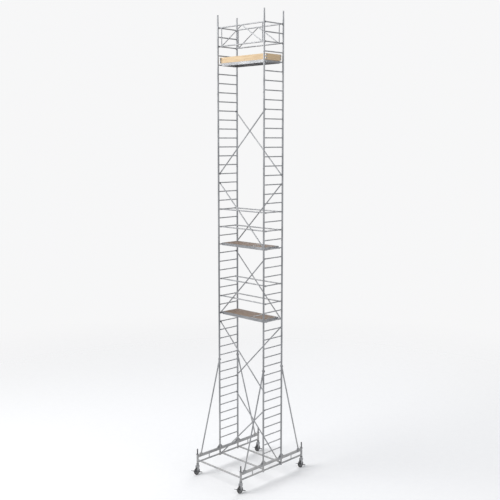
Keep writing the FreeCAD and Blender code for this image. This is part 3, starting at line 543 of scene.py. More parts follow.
def hexagon(piece, centre, axis, across, length):
    """A bolt head or nut with chamfered corners, from centre along the axis."""
    radius = across / math.sqrt(3)
    low, high = min(0, length), max(0, length)
    lead, crown = 0.12 * (high - low), radius * 0.9
    profile = ((low, 0), (low, crown), (low + lead, radius), (high - lead, radius), (high, crown), (high, 0))
    piece.lathe(profile, centre, axis, segments=6)


for name, x in SIDES:
    dress("struts_" + name, tube_metal)
    bolts, straps = Piece(), Piece()
    for sign in (-1, 1):
        post = Vector((x, sign * POST_Y, STRUT_TOP))
        foot = Vector((x, sign * STRUT_FOOT_Y, TOP_CHORD_UPPER))
        for way in (-1, 1):
            ear = post + way * EAR_X * X_WAY
            for lip in (-0.008, 0.003):
                straps.block((-0.0095, lip, -0.022), (0.0095, lip + LIP_THICKNESS, 0.022), 0.0016, at=ear)
            for level in (-0.012, 0.012):
                place = ear + Vector((0.001, 0, level))
                bolts.lathe(EYE_BOLT, place, "Y", segments=14)
                hexagon(bolts, place - 0.008 * Y_WAY, "Y", BOLT_ACROSS, -0.005)
                hexagon(bolts, place + 0.009 * Y_WAY, "Y", BOLT_ACROSS, 0.006)
        for way in (-1, 1):
            straps.block((way * 0.0203, -0.038, -0.060), (way * STRAP_FACE, 0.038, 0.004), at=foot)
            for shift in (-0.024, 0.024):
                for level in (0.012, -0.030):
                    place = foot + Vector((way * STRAP_FACE, shift, level))
                    hexagon(bolts, place, "X", BOLT_ACROSS, way * HEAD_LENGTH)
    bolts.done("strut_bolts_" + name, bright_zinc)
    straps.done("strut_straps_" + name, tube_metal)


# ------------ braces, guard rails and top guard frames
# Round tubes with a cast claw crimped into each end. The claw drops over a rung and a sprung steel latch with
# a plastic thumb piece closes its mouth from below; the top guard frames are welded lattices with four such
# claws.
BRACE_LEVELS = 5
CLAW_HALF = 0.015
CLAW_REACH = 0.0063
LATCH_PLATE = 0.0022
LATCH_LEAN = math.radians(28)
CRIMP_PLACES = (0.045, 0.075)
CRIMP_WIRE = 0.0014
RAIL_RADIUS = 0.017
RAIL_SPACING = 0.500
PANEL_X = 0.780
PANEL_RADIUS = 0.014


def mirrored(half, *middle):
    """A profile that is the same on both sides of zero, from its lower half."""
    return [*half, *middle, *((-place, radius) for place, radius in reversed(half))]


def latch(spring, thumb, centre, toward, hold):
    """The snap latch of one claw: a plate on each side, a tongue under the bar and a thumb piece beyond."""
    reach = hold + CLAW_REACH
    outline = [(reach + 0.010, 0.006), (reach + 0.012, -0.004), (reach + 0.002, -0.012),
               (reach * 0.55, -reach - 0.003), (-reach * 0.25, -reach - 0.005),
               (-reach * 0.3, -reach + 0.001), (reach * 0.35, -reach + 0.003),
               (reach - 0.005, -0.008), (reach - 0.006, 0.006)]
    for side in (-1, 1):
        face = centre.y + side * CLAW_HALF
        spring.slab([(centre.x + toward * a, centre.z + b) for a, b in outline[::toward]],
                    face, face + side * LATCH_PLATE, "Y", 0.0005)
    pivot = mirrored([(-0.0195, 0), (-0.0195, 0.0035), (-0.0172, 0.0045)])
    spring.lathe(pivot, centre + toward * (reach + 0.002) * X_WAY, "Y", segments=16)
    tip = centre + Vector((-toward * reach * 0.12, 0, -reach - 0.0015))
    spring.block((-0.0045, -CLAW_HALF, -0.003), (0.0045, CLAW_HALF, 0.0015), 0.001, at=tip)
    knob = centre + Vector((toward * (reach + 0.010), 0, -0.007))
    lean = Matrix.Rotation(toward * LATCH_LEAN, 3, "Y")
    thumb.block((-0.008, -0.0165, -0.0065), (0.008, 0.0165, 0.0065), 0.0025, lean, knob)


def crimps(piece, start, way):
    """Two dimpled rings where a claw's shank is crimped in its tube."""
    across = way.orthogonal().normalized()
    for distance in CRIMP_PLACES:
        rim = circle(start + way * distance, across, way.cross(across), RAIL_RADIUS, 20)
        piece.bar(rim, CRIMP_WIRE, 6, closed=True)


def hook_work(name, bars):
    """Latches and crimps of a node's bars, each given by its two claws' axes and the radii they hold."""
    spring, thumb, crimp = Piece(), Piece(), Piece()
    for (left, left_hold), (right, right_hold) in bars:
        way = (right - left).normalized()
        for centre, along, toward, hold in ((left, way, 1, left_hold), (right, -way, -1, right_hold)):
            latch(spring, thumb, centre, toward, hold)
            crimps(crimp, centre, along)
    spring.done("latches_" + name, bright_zinc)
    thumb.done("thumb_pieces_" + name, plastic)
    crimp.done("crimps_" + name, tube_metal)


def level_bar(y, z):
    return [(Vector((x, y, z)), RUNG_RADIUS) for _, x in SIDES]


def claw_height(node, side, front, reach):
    """Height of a claw's axis, from the highest point of the CAD mesh near that claw."""
    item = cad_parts[node]
    tops = [place.z for place in (item.matrix_world @ vert.co for vert in item.data.vertices)
            if abs(place.x - side * BAY_X) < 0.004 and (place.y < 0) == front]
    return max(tops) - reach


for level in range(1, BRACE_LEVELS + 1):
    node = "brace_pair_%d" % level
    dress(node, tube_metal)
    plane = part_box(node)[1].y - RAIL_RADIUS
    bars = []
    for front in (True, False):
        ends = []
        for side in (-1, 1):
            hold = BOTTOM_CHORD_RADIUS if level == 1 and (side < 0) == front else RUNG_RADIUS
            height = claw_height(node, side, front, hold + CLAW_REACH)
            ends.append((Vector((side * BAY_X, -plane if front else plane, height)), hold))
        bars.append(ends)
    hook_work(node, bars)

for deck in ("lower", "middle"):
    node = "guard_rails_" + deck
    dress(node, tube_metal)
    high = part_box(node)[1]
    plane, top = high.y - RAIL_RADIUS, high.z - RUNG_RADIUS - CLAW_REACH
    hook_work(node, [level_bar(sign * plane, z) for sign in (-1, 1) for z in (top - RAIL_SPACING, top)])

for name in ("front", "back"):
    node = "top_guard_frame_" + name
    dress(node, tube_metal)
    low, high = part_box(node)
    y, top = (low.y + high.y) / 2, high.z - RUNG_RADIUS - CLAW_REACH
    knee = top - RAIL_SPACING
    hook_work(node, [level_bar(y, z) for z in (knee, top)])
    beads = Piece()
    slope = Vector((PANEL_X, 0, RAIL_SPACING)).normalized()
    for sign in (-1, 1):
        for z, out in ((knee, Z_WAY), (top, -Z_WAY)):
            seam(beads, Vector((sign * PANEL_X, y, z)), out, X_WAY, PANEL_RADIUS, RAIL_RADIUS)
        rise = Vector((-sign * slope.x, 0, slope.z))
        for place in (Vector((sign * PANEL_X, y, knee)) + rise * 0.0325, Vector((0, y, top)) - rise * 0.032):
            seam(beads, place, rise, Y_WAY, PANEL_RADIUS, 0)
    beads.done("guard_frame_welds_" + name, weld)


# ------------ platform frames
# Extruded edge beams, riveted at the corners, with four cast hooks that drop over the rungs and are latched
# like the braces, and a steel hinge pin across the frame for the hatch.
DECKS = ("lower", "middle", "top")
DECK_TOPS = {deck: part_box("platform_board_" + deck)[1].z for deck in DECKS}
BEAM_Y = 0.300
PLATE_SPANS = ((-0.800, -0.738), (0.738, 0.800))
PLATE_DROPS = (0.068, 0.008)
PLATE_THICKNESS = 0.0008
HOOK_Y = 0.250
HOOK_DROP = 0.045
HOOK_PLATE = (0.820, 0.212, 0.050)
GROOVE_PITCH = 0.0125
CORNER_RIVET = ((0, 0), (0, 0.005), (0.0012, 0.0046), (0.0024, 0.0026), (0.0028, 0))
EDGE_RIVET = ((0, 0), (0, 0.0035), (0.0012, 0.003), (0.0018, 0))
HOOK_RIVET = ((0, 0), (0, 0.004), (0.0015, 0.0032), (0.002, 0))


def deck_height(work):
    """Height over the nearest deck, as the decks stand whole metres apart."""
    return (work.axis("Z") - DECK_TOPS["lower"] + 0.5).sum("FRACT") - 0.5


def beam_metal():
    """The edge beams' extrusion: the tube's metal with fine grooves along the beam, and painted shade
    darkening the grooves.
    """
    work = Finish("aluminium_beam", (0.50, 0.505, 0.515), 0.34, metallic=1.0)
    cloud = work.noise(7, (0.4, 0.4, 1), detail=5)
    streak = work.noise(260, (0.02, 0.02, 1))
    groove_and_shade = (deck_height(work) * 2 * math.pi / GROOVE_PITCH).sum("SINE").ramp(0.86, 0.98)
    body = work.tint(cloud.ramp(0.35, 0.7), (0.35, 0.355, 0.365), (0.49, 0.495, 0.505))
    # painted shade: the grooves are tinted darker grey, as if shade fell in them
    colour = work.tint(groove_and_shade * 0.6, body, (0.22, 0.22, 0.225))
    relief = streak * 0.4 + (1 - groove_and_shade) * 2.0
    return work.coat(colour, 0.42 + cloud * 0.18 + groove_and_shade * 0.2, relief, 0.6, 0.0008)


def outward(piece, profile, sign, centre, axis, segments):
    """A turned shape that stands out along an axis, or back when sign is -1."""
    piece.lathe([(sign * rise, radius) for rise, radius in profile], centre, axis, segments)


beam = beam_metal()

for deck in DECKS:
    dress("platform_frame_" + deck, beam)
    top = DECK_TOPS[deck]
    rivets, spring, thumb, plates = Piece(), Piece(), Piece(), Piece()
    for sign in (-1, 1):
        for x in (-0.79, -0.76, 0.76, 0.79):
            for drop in (0.018, 0.055):
                outward(rivets, CORNER_RIVET, sign, (x, sign * BEAM_Y, top - drop), "Y", 14)
        for step in range(7):
            outward(rivets, EDGE_RIVET, sign, (-0.60 + step * 0.2, sign * BEAM_Y, top - 0.022), "Y", 12)
        for start, end in PLATE_SPANS:
            foot, head = (top - drop for drop in PLATE_DROPS)
            plates.slab([(start, foot), (end, foot), (end, head), (start, head)],
                        sign * BEAM_Y, sign * (BEAM_Y + PLATE_THICKNESS), "Y", 0.0003)
        for x_sign in (-1, 1):
            hook = Vector((x_sign * BAY_X, sign * HOOK_Y, top - HOOK_DROP))
            latch(spring, thumb, hook, -x_sign, RUNG_RADIUS)
            for shift in (-0.018, 0.018):
                place = (x_sign * HOOK_PLATE[0], sign * HOOK_PLATE[1] + shift, top - HOOK_PLATE[2])
                outward(rivets, HOOK_RIVET, x_sign, place, "X", 12)
    rivets.done("platform_rivets_" + deck, bright_zinc)
    plates.done("platform_corner_plates_" + deck, tube_metal)
    spring.done("platform_latches_" + deck, bright_zinc)
    thumb.done("platform_thumb_pieces_" + deck, plastic)


# ------------ platform boards
# Fixed boards of phenolic-faced birch plywood, 12 mm thick, with a woven anti-slip print on top and bare
# plies at the edges. They lie between the edge beams and are screwed down to the cross bearers.
PLY = 0.012
PLY_EDGE = 0.0012
PRINT_PITCH = 0.0075
FIXED_LEAF = 0.0035
SCREW = ((-0.002, 0), (-0.002, 0.0035), (0.0002, 0.0052), (0.0006, 0.0048), (0.0006, 0.0022),
         (0.0001, 0.0016), (0.0001, 0))


def plywood():
    """Brown film with a wire-mesh print and boot scuffs; the edges show nine thin plies."""
    work = Finish("phenolic_plywood", (0.20, 0.13, 0.085), 0.55)
    x, y = work.axis("X") * (2 * math.pi / PRINT_PITCH), work.axis("Y") * (2 * math.pi / PRINT_PITCH)
    mesh = ((x + y).sum("SINE") * (x - y).sum("SINE")).ramp(-0.15, 0.25)
    wear = work.noise(3.2, detail=6).ramp(0.46, 0.7)
    fleck = work.noise(420, detail=2).ramp(0.45, 0.7)
    film = work.tint(wear * 0.55, (0.20, 0.125, 0.08), (0.33, 0.235, 0.16))
    film = work.tint(mesh * 0.35, film, (0.12, 0.075, 0.05))
    film = work.tint(fleck * 0.2, film, (0.42, 0.34, 0.27))
    layer = (deck_height(work) * (2 * math.pi / (PLY / 4.5))).sum("SINE").ramp(-0.3, 0.3)
    grain = work.noise(90, (0.1, 0.1, 3))
    edge = work.tint(layer, (0.34, 0.22, 0.12), (0.58, 0.43, 0.27))
    edge = work.tint(grain * 0.3, edge, (0.25, 0.17, 0.10))
    flat = work.facing("Z").ramp(0.5, 0.8)
    relief = mesh * flat * 1.5 + grain * (1 - flat) + fleck * 0.2
    return work.coat(work.tint(flat, edge, film), 0.42 + wear * 0.25 + mesh * 0.1, relief, 0.6, 0.0006)


ply = plywood()


def screw(piece, places_x, places_y, height):
    """Countersunk screw heads on a grid, a hair proud of the face, dished in the middle."""
    for x in places_x:
        for y in places_y:
            piece.lathe(SCREW, (x, y, height), segments=16)


for deck in DECKS:
    low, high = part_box("platform_board_" + deck)
    board, screws = Piece(), Piece()
    board.block(low, high, PLY_EDGE)
    board.done("plywood_board_" + deck, ply, "tower", "plywood", "platform_board_" + deck)
    screw(screws, (-0.574, -0.287, 0.0, 0.232), (-0.255, -0.17, -0.085, 0.0, 0.085, 0.17, 0.255), high.z)
    screw(screws, (0.249, 0.266), (-0.225, -0.205, 0.205, 0.225), high.z + FIXED_LEAF)
    screws.done("board_screws_" + deck, bright_zinc, "tower", "zinc_pin")


# ------------ hatches
# A lifting board in each platform, of the same plywood, on a steel leaf whose barrel turns on the hinge pin.
# A plate with a lifting ring is screwed on near its free end.
HINGE_X = 0.285
HINGE_RISE = 0.0065
BARREL_RADIUS = 0.0055
BARREL_BORE = 0.0031
BARREL_HALF = 0.1855
BARREL_CHAMFER = 0.0005
BOARD_GAP = 0.003
LEAF = 0.0034
NECK = ((0.0028, 0.0025), (0.0125, 0.0025), (0.0049, 0.0088))
RING_PLATE = 0.0022
RING_X = 0.722

for deck in DECKS:
    low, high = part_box("hatch_" + deck)
    top = DECK_TOPS[deck]
    body = "hatch_" + deck
    board, leaf, screws = Piece(), Piece(), Piece()
    board.block((HINGE_X + BOARD_GAP, low.y, top - PLY), (high.x, high.y, top), PLY_EDGE)
    board.done("hatch_board_" + deck, ply, body, "plywood", body)
    barrel = mirrored([(-BARREL_HALF, BARREL_BORE), (-BARREL_HALF, BARREL_RADIUS - BARREL_CHAMFER),
                       (-BARREL_HALF + BARREL_CHAMFER, BARREL_RADIUS)])
    leaf.lathe(barrel, (HINGE_X, 0, top + HINGE_RISE), "Y", segments=32, bored=True)
    leaf.block((HINGE_X + 0.0005, -BARREL_HALF, top), (HINGE_X + 0.044, BARREL_HALF, top + LEAF), 0.0006)
    neck = [(HINGE_X + across, top + rise) for across, rise in NECK]
    leaf.slab(neck, -BARREL_HALF, BARREL_HALF, "Y", 0)
    leaf.block((0.690, -0.032, top), (0.756, 0.032, top + RING_PLATE), 0.0008)
    leaf.bar([(RING_X + 0.019 * math.cos(turn), 0.023 * math.sin(turn), top + 0.0045) for turn in turns(32)],
             0.0022, sides=10, closed=True)
    for sign in (-1, 1):
        lug = Vector((0.741, sign * 0.0125, top))
        leaf.block((-0.005, -0.004, 0.002), (0.005, 0.004, 0.0075), at=lug)
    leaf.done("hatch_leaf_" + deck, bright_zinc, body, "zinc_pin")
    screw(screws, (0.303, 0.319), (-0.16, -0.096, -0.032, 0.032, 0.096, 0.16), top + LEAF)
    screw(screws, (0.697, 0.749), (-0.026, 0.026), top + RING_PLATE)
    screws.done("hatch_screws_" + deck, bright_zinc, body, "zinc_pin")


# ------------ toe boards
# Planed softwood planks on edge round the top platform, clear coated. Steel angle clips hold them to one
# another at the corners with coach bolts, and sit on the platform's edge beams.
TOE = 0.022
TOE_EDGE = 0.002
CLIP_LEVELS = (0.035, 0.110)
CLIP_HALF = 0.016
CLIP_SHEET = 0.0025
CLIP_EDGE = 0.0006
COACH_BOLT = ((0, 0), (0, 0.009), (0.002, 0.008), (0.004, 0.004), (0.0045, 0))


def pine(name, stretch):
    """Pale softwood: growth lines and knots drawn out along the plank."""
    work = Finish(name, (0.66, 0.48, 0.28), 0.5)
    swirl = work.noise(9, stretch)
    line = (swirl * 60 + work.axis("Z") * 160).sum("SINE").ramp(-0.4, 0.9)
    fibre = work.noise(500, stretch, detail=2)
    knot = work.noise(11, (0.35, 0.35, 1), detail=1).ramp(0.74, 0.8)
    grey = work.noise(4, stretch).ramp(0.5, 0.8)
    body = work.tint(line * 0.55, (0.70, 0.52, 0.31), (0.50, 0.33, 0.17))
    body = work.tint(knot * 0.8, body, (0.22, 0.12, 0.06))
    colour = work.tint(grey * 0.35 + fibre * 0.08, body, (0.47, 0.42, 0.34))
    return work.coat(colour, 0.42 + fibre * 0.2, line * 0.5 + fibre * 0.6, 0.5, 0.0005)


low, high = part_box("toe_boards_long")
planks, corner_x, corner_y = Piece(), high.x, high.y
for y in (low.y, high.y - TOE):
    planks.block((low.x, y, low.z), (high.x, y + TOE, high.z), TOE_EDGE)
planks.done("toe_planks_long", pine("pine_long", (0.04, 1, 1)), "tower", "toe_board_wood", "toe_boards_long")

low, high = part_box("toe_boards_end")
planks = Piece()
for x in (low.x, high.x - TOE):
    planks.block((x, low.y, low.z), (x + TOE, high.y, high.z), TOE_EDGE)
planks.done("toe_planks_end", pine("pine_end", (1, 0.04, 1)), "tower", "toe_board_wood", "toe_boards_end")

clips, bolts = Piece(), Piece()
for x_sign in (-1, 1):
    for y_sign in (-1, 1):
        for level in CLIP_LEVELS:
            corner = Vector((x_sign * corner_x, y_sign * corner_y, DECK_TOPS["top"] + level))
            out_x, out_y = x_sign * CLIP_SHEET, y_sign * CLIP_SHEET
            clips.block((0, -y_sign * 0.055, -CLIP_HALF), (out_x, 0, CLIP_HALF), CLIP_EDGE, at=corner)
            clips.block((-x_sign * 0.060, 0, -CLIP_HALF), (out_x, out_y, CLIP_HALF), CLIP_EDGE, at=corner)
            outward(bolts, COACH_BOLT, x_sign, corner + Vector((out_x, -y_sign * 0.040, 0)), "X", 20)
            outward(bolts, COACH_BOLT, y_sign, corner + Vector((-x_sign * 0.042, out_y, 0)), "Y", 20)
clips.done("toe_board_clips", bright_zinc, "tower", "zinc_pin")
bolts.done("toe_board_bolts", bright_zinc, "tower", "zinc_pin")


# ------------ locking pins
# One pin through every post joint, of zinc-plated spring steel: a knob on one side, a tapered tail on the
# other, and a wire that springs half round the post from knob to tail so the pin can't fall out.
PIN_RADIUS = 0.004
PIN_RISE = 0.040
PIN = ((-0.039, 0), (-0.039, 0.006), (-0.0375, 0.0078), (-0.0295, 0.0078), (-0.028, 0.0066), (-0.026, 0.0066),
       (-0.026, PIN_RADIUS), (0.0275, PIN_RADIUS), (0.031, 0.002), (0.031, 0))
WIRE_RADIUS = 0.0016
WIRE_REACH = 0.0285
WIRE_STEPS = 12

dull_zinc = zinc_steel("dull_zinc", (0.16, 0.16, 0.163), (0.28, 0.28, 0.285), 0.42)


def pin_wire(sign):
    """The path of one pin's wire: out of the knob, half round the post and back to the tail."""
    path = [(-0.0325, sign * 0.005, 0), (-0.0325, sign * 0.011, 0.002)]
    for step in range(WIRE_STEPS + 1):
        left = 1 - step / WIRE_STEPS
        turn = math.pi * (0.02 + 0.98 * left) - 0.35 * left
        path.append((WIRE_REACH * math.cos(turn), sign * WIRE_REACH * math.sin(turn), 0.006 * left))
    return path + [(0.0292, -sign * 0.006, 0)]


pins = Piece()
for joint in range(FRAME_LEVELS):
    for _, x in SIDES:
        for sign in (-1, 1):
            centre = Vector((x, sign * POST_Y, JOINT_Z + joint * LIFT + PIN_RISE))
            pins.lathe(PIN, centre, "X", segments=20)
            pins.bar([centre + Vector(point) for point in pin_wire(sign)], WIRE_RADIUS)
pins.done("sprung_locking_pins", dull_zinc, "tower", "zinc_pin", "locking_pins")


# ------------ castor spindles
# Rolled steel spindles with a trapezoidal thread of 10 mm lead, dark with oil, in one piece with a flange and
# a king pin on which the swivel head turns. The nut on the sleeve sets their height.
CORNERS = ["%s_%s" % (side, end) for side in ("left", "right") for end in ("front", "back")]
CROWN_LOW = 0.262
CROWN_HIGH = 0.270
KING_PIN_RADIUS = 0.010
FLANGE_TOP = STUB_FOOT_Z
CORE_RADIUS = 0.0163
CREST_RADIUS = 0.019
ROOT_RADIUS = 0.0157
LEAD = 0.010
THREAD_STEPS = 24
SPINDLE = ((CROWN_LOW, 0), (CROWN_LOW, 0.009), (0.263, KING_PIN_RADIUS),
           (FLANGE_TOP - 0.012, KING_PIN_RADIUS), (FLANGE_TOP - 0.012, 0.0345), (FLANGE_TOP - 0.0105, 0.036),
           (FLANGE_TOP - 0.0015, 0.036), (FLANGE_TOP, 0.0345), (FLANGE_TOP, CREST_RADIUS),
           (FLANGE_TOP + 0.010, CORE_RADIUS), (JOINT_Z - 0.004, CORE_RADIUS),
           (JOINT_Z, CORE_RADIUS - 0.003), (JOINT_Z, 0))


def on_castor(piece, corner, name, material, body, slot, cad=None, start=(0, 0, 0)):
    """Finishes a piece that was made about a point of the castor at one corner."""
    low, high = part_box("spindle_" + corner)
    axis = Vector(((low.x + high.x) / 2, (low.y + high.y) / 2, 0))
    piece.move(Matrix.Translation(axis + Vector(start)))
    piece.done(name + corner, material, body + corner, slot, *([cad + corner] if cad else []))


def oiled_steel():
    """Dark galvanised steel with an oil film, brighter on the rubbed crests."""
    work = Finish("oiled_thread_steel", (0.13, 0.13, 0.133), 0.35, metallic=1.0)
    film = work.noise(60, detail=4)
    rub = work.noise(25, (1, 1, 0.3)).ramp(0.45, 0.7)
    body = work.tint(film.ramp(0.35, 0.65), (0.09, 0.09, 0.093), (0.17, 0.17, 0.173))
    colour = work.tint(rub * 0.3, body, (0.32, 0.32, 0.325))
    return work.coat(colour, 0.24 + film * 0.25, film, 0.4, 0.0004)


def thread(piece, foot, head):
    """A helical ridge that grows out of the core at its start and dies away at its end."""
    rings = []
    steps = int((head - foot) / LEAD * THREAD_STEPS)
    for step in range(steps + 1):
        turn = 2 * math.pi * step / THREAD_STEPS
        height = foot + LEAD * step / THREAD_STEPS
        grow = min(1, step / 12, (steps - step) / 12)
        crest = CORE_RADIUS + (CREST_RADIUS - CORE_RADIUS) * grow
        section = ((ROOT_RADIUS, -0.0036), (crest, -0.0017), (crest, 0.0017), (ROOT_RADIUS, 0.0036))
        rings.append(piece.ring([(radius * math.cos(turn), radius * math.sin(turn), height + rise)
                                 for radius, rise in section]))
    piece.skin(rings)


oiled = oiled_steel()

for corner in CORNERS:
    stem = Piece()
    stem.lathe(SPINDLE, segments=48)
    thread(stem, FLANGE_TOP + 0.011, JOINT_Z - 0.007)
    on_castor(stem, corner, "threaded_spindle_", oiled, "stem_", "spindle_steel", "spindle_")


# ------------ levelling nuts
# Cast nuts that rest on the sleeves, with two stout handles to turn them by; galvanised and rough from the
# sand.
NUT_FOOT = JOINT_Z - 0.180
NUT_BORE = 0.0194
NUT = ((0, NUT_BORE), (0, 0.031), (0.002, 0.033), (0.009, 0.033), (0.0115, 0.031), (0.0205, 0.0285),
       (0.024, 0.027), (0.026, 0.025), (0.026, NUT_BORE + 0.001), (0.025, NUT_BORE))


def cast_steel():
    """Galvanised casting: sandy skin with dull and bright grains."""
    work = Finish("galvanised_casting", (0.32, 0.32, 0.325), 0.55, metallic=0.9)
    sand = work.noise(320, detail=4)
    patch = work.noise(30, detail=4)
    body = work.tint(patch.ramp(0.35, 0.65), (0.24, 0.24, 0.245), (0.38, 0.38, 0.385))
    colour = work.tint(sand.ramp(0.5, 0.75) * 0.5, body, (0.15, 0.145, 0.14))
    return work.coat(colour, 0.42 + sand * 0.3, sand, 0.8, 0.0008)


casting = cast_steel()
KNOB = mirrored([(-0.0075, 0), (-0.0075, 0.006), (-0.006, 0.0078)])

for corner in CORNERS:
    nut, foot = Piece(), NUT_FOOT * Z_WAY
    nut.lathe(NUT, foot, segments=48, bored=True)
    for sign in (-1, 1):
        nut.block((sign * 0.0265, -0.0065, 0.0055), (sign * 0.052, 0.0065, 0.0195), 0.004, at=foot)
        nut.lathe(KNOB, foot + Vector((sign * 0.0540, 0, 0.0128)), segments=24)
    on_castor(nut, corner, "cast_nut_", casting, "nut_", "nut_steel", "levelling_nut_")


# ------------ castor forks
# Pressed and zinc-plated: two cheeks welded under a crown plate, a swivel head with a ball race under a
# rubber seal, the axle bolt with its lock nut, and a brake shoe on a leaf spring over the tyre.
AXLE = Vector((0, -0.032, 0.100))
AXLE_RADIUS = 0.007
AXLE_NUT_ACROSS = 0.0202
CHEEK_FACES = (0.032, 0.038)
CHEEK_END = 0.0168
CROWN_HALF = 0.038
CROWN_BACK = 0.050
CROWN_FRONT = 0.040
KING_HOLE = 0.01006
HEAD_TOP = 0.316
HEAD = ((CROWN_HIGH, KING_HOLE), (CROWN_HIGH, 0.037), (0.272, 0.039), (0.286, 0.039), (0.2875, 0.0375),
        (0.2895, 0.0375), (0.291, 0.039), (0.3035, 0.039), (0.3065, 0.0375), (0.309, 0.034), (0.3155, 0.032),
        (HEAD_TOP, 0.031), (HEAD_TOP, KING_HOLE))
SEAL = ((0.3087, 0.0305), (0.3087, 0.0352), (0.3105, 0.0352), (0.3125, 0.0336), (0.3125, 0.0305))
PRESSED_RIB = ((-0.030, 0.130), (-0.026, 0.150), (-0.010, 0.200), (-0.004, 0.228), (-0.010, 0.240),
               (-0.022, 0.238), (-0.030, 0.215), (-0.036, 0.160), (-0.035, 0.136))
SHOE_SPRING = ((-0.046, 0.262), (-0.043, 0.262), (-0.042, 0.226), (-0.030, 0.2135), (-0.010, 0.2105),
               (-0.010, 0.2075), (-0.032, 0.2095), (-0.0455, 0.224))
SHOE = ((-0.046, 0.2045), (-0.018, 0.2045), (-0.014, 0.2115), (-0.034, 0.2115))

plated = zinc_steel("plated_pressing", (0.36, 0.365, 0.37), (0.46, 0.465, 0.475), 0.38)

cheek = [(AXLE.y + CHEEK_END * math.cos(turn), AXLE.z + CHEEK_END * math.sin(turn))
         for turn in (math.radians(190 + 15 * step) for step in range(11))]
cheek += [(0.0385, 0.222), (0.0385, CROWN_LOW), (-0.049, CROWN_LOW), (-0.0505, 0.232)]


def crown(piece):
    """The crown plate, a rectangle with the king pin's hole in it."""
    corners = [(x, y) for x in (-CROWN_HALF, CROWN_HALF) for y in (-CROWN_BACK, CROWN_FRONT)]
    edge, hole = [], []
    for turn in sorted(turns(40) + [math.atan2(y, x) % (2 * math.pi) for x, y in corners]):
        across, along = math.cos(turn), math.sin(turn)
        depth = CROWN_FRONT if along > 0 else CROWN_BACK
        reach = min(CROWN_HALF / max(abs(across), 1e-6), depth / max(abs(along), 1e-6))
        edge.append((across * reach, along * reach))
        hole.append((across * KING_HOLE, along * KING_HOLE))
    loops = ((edge, CROWN_LOW), (edge, CROWN_HIGH), (hole, CROWN_HIGH), (hole, CROWN_LOW))
    piece.skin([piece.ring([(x, y, z) for x, y in path]) for path, z in loops], closed=True)


for corner in CORNERS:
    fork, bolt, seal = Piece(), Piece(), Piece()
    for sign in (-1, 1):
        inner, outer = (sign * face for face in CHEEK_FACES)
        fork.slab(cheek, inner, outer)
        fork.bar([(sign * 0.0378, y, z) for y, z in PRESSED_RIB], 0.0014, closed=True)
        for x, radius in ((0.0375, 0.0016), (0.0322, 0.0022)):
            fork.bar([(sign * x, -0.047, CROWN_LOW), (sign * x, 0.037, CROWN_LOW)], radius, sides=6)
    crown(fork)
    fork.lathe(HEAD, segments=56, bored=True)
    fork.slab(SHOE_SPRING, -0.018, 0.018, edge=0.0006)
    fork.slab(SHOE, -0.021, 0.021, edge=0.001)
    seal.lathe(SEAL, segments=56, bored=True)
    for sign, face in ((-1, 0.038), (1, 0.047)):
        washer = ((face, 0), (face, 0.0118), (face + 0.0015, 0.0118), (face + 0.0015, 0))
        outward(bolt, washer, sign, AXLE, "X", 32)
        hexagon(bolt, AXLE + sign * (face + 0.0012) * X_WAY, "X", AXLE_NUT_ACROSS, sign * HEAD_LENGTH)
    shank = ((-0.0525, 0), (-0.0525, 0.006), (-0.0515, AXLE_RADIUS), (0.048, AXLE_RADIUS), (0.048, 0))
    bolt.lathe(shank, AXLE, "X", segments=32)
    on_castor(fork, corner, "fork_pressing_", plated, "fork_", "fork_steel", "castor_fork_")
    on_castor(bolt, corner, "axle_bolt_", bright_zinc, "fork_", "fork_steel")
    on_castor(seal, corner, "swivel_seal_", plastic, "fork_", "fork_steel")


# ------------ castor wheels
# A grey moulded hub with eight ribs a side between its boss and rim, on the axle bolt, and a dark solid
# rubber tyre moulded over the rim, scuffed on its tread.
WHEEL_BORE = 0.00706
HUB = mirrored([(-0.029, WHEEL_BORE), (-0.029, 0.013), (-0.026, 0.0145), (-0.025, 0.026), (-0.023, 0.028),
                (-0.007, 0.0285), (-0.007, 0.0665), (-0.021, 0.0675), (-0.023, 0.069), (-0.023, 0.076)])
HUB_RIBS = 8
RIB_FACES = ((-0.0205, -0.006), (0.006, 0.0205))
RIB_MIDDLE = 0.0475
TYRE = mirrored([(-0.0235, 0.0762), (-0.0249, 0.078), (-0.0249, 0.0895), (-0.0238, 0.0925), (-0.021, 0.0948),
                 (-0.0165, 0.0976), (-0.010, 0.0993)], (0, 0.0999))


def moulded_nylon():
    """Grey nylon: faint flow marks."""
    work = Finish("hub_nylon", (0.30, 0.305, 0.31), 0.45)
    flow = work.noise(35, detail=4)
    grain = work.noise(900, detail=2)
    colour = work.tint(flow.ramp(0.35, 0.7), (0.25, 0.255, 0.26), (0.36, 0.36, 0.36))
    return work.coat(colour, 0.38 + grain * 0.2, grain + flow, 0.3, 0.0004)


def tyre_rubber():
    """Solid rubber: near black, dusty and paler where the tread rolls, with fine cuts."""
    work = Finish("tyre_rubber", (0.035, 0.035, 0.036), 0.75)
    dust = work.noise(45, detail=5)
    cut = work.noise(260, (1, 0.5, 0.5), detail=2).ramp(0.62, 0.7)
    tread = 1 - work.facing("X").ramp(0.1, 0.7)
    body = work.tint(dust.ramp(0.4, 0.7) * 0.6, (0.028, 0.028, 0.03), (0.085, 0.082, 0.078))
    colour = work.tint(tread * 0.45, body, (0.12, 0.115, 0.108))
    return work.coat(colour, 0.62 + dust * 0.25, dust - cut * 0.8, 0.6, 0.0006)


nylon, rubber = moulded_nylon(), tyre_rubber()

for corner in CORNERS:
    hub, tyre = Piece(), Piece()
    hub.lathe(HUB, axis="X", segments=64, bored=True)
    for rib in turns(HUB_RIBS):
        turn = Matrix.Rotation(rib, 3, "X")
        for start, end in RIB_FACES:
            middle = turn @ Vector(((start + end) / 2, 0, RIB_MIDDLE))
            half = Vector(((end - start) / 2, 0.0024, 0.0205))
            hub.block(-half, half, 0.0008, turn, middle)
    tyre.lathe(TYRE, axis="X", segments=96, bored=True)
    on_castor(hub, corner, "wheel_hub_", nylon, "wheel_", "wheel_polymer", "castor_wheel_", AXLE)
    on_castor(tyre, corner, "tyre_", rubber, "wheel_", "wheel_polymer", start=AXLE)


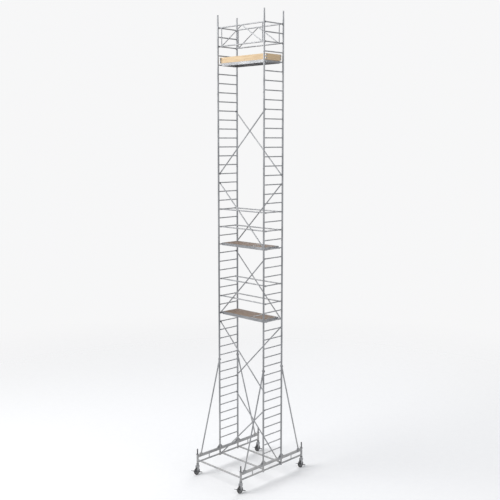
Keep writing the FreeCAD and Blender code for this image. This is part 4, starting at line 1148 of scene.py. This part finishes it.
# ------------ brake rockers
# A flat steel rocker on the end of each axle bolt, powder coated dark, with a foot pad at each end: the
# raised one is trodden down to lock the wheel and the other to free it. The pads have pressed ribs for grip.
ROCKER_TILT = math.radians(-22)
ROCKER_FACE = Vector((0.040, 0, 0))
ROCKER_EYE = ((0.0002, 0.00706), (0.0002, 0.0132), (0.001, 0.014), (0.005, 0.014), (0.0058, 0.0132),
              (0.0058, 0.00706))
ARMS = ((-0.205, -0.009), (0.009, 0.165))
ARM_HALF = 0.0118
PADS = ((-0.2388, -0.204), (0.164, 0.1988))
PAD_RIBS = 5


def worn_paint():
    """Dark powder coat, chipped to bare steel in small spots and rubbed shiny by boots."""
    work = Finish("worn_powder_coat", (0.05, 0.05, 0.055), 0.45)
    peel = work.noise(240, detail=2)
    chip = work.noise(130, detail=4).ramp(0.66, 0.69)
    rub = work.noise(22).ramp(0.45, 0.7)
    body = work.tint(rub * 0.5, (0.045, 0.046, 0.05), (0.095, 0.095, 0.10))
    work.set("Metallic", chip * 0.9)
    colour = work.tint(chip, body, (0.42, 0.42, 0.425))
    return work.coat(colour, 0.5 - rub * 0.15 + peel * 0.1, peel * 0.5 - chip, 0.5, 0.0005)


paint = worn_paint()

for corner in CORNERS:
    rocker = Piece()
    rocker.lathe(ROCKER_EYE, axis="X", segments=36, bored=True)
    for start, end in ARMS:
        rocker.block((0.0003, start, -ARM_HALF), (0.0057, end, ARM_HALF), 0.0014)
    for start, end in PADS:
        rocker.block((-0.0398, start, -0.0038), (0.0058, end, 0.0030), 0.002)
        for step in range(PAD_RIBS):
            y = start + 0.0055 + step * 0.006
            rocker.block((-0.0375, y - 0.0012, 0.002), (0.0035, y + 0.0012, 0.0039), 0.0005)
    rocker.move(Matrix.Rotation(ROCKER_TILT, 4, "X"))
    on_castor(rocker, corner, "brake_rocker_", paint, "pedal_", "pedal_steel", "brake_pedal_",
              AXLE + ROCKER_FACE)


# ------------ closing lines
# The size of the visual model, found the same way as that of the CAD at the start.
low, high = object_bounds()
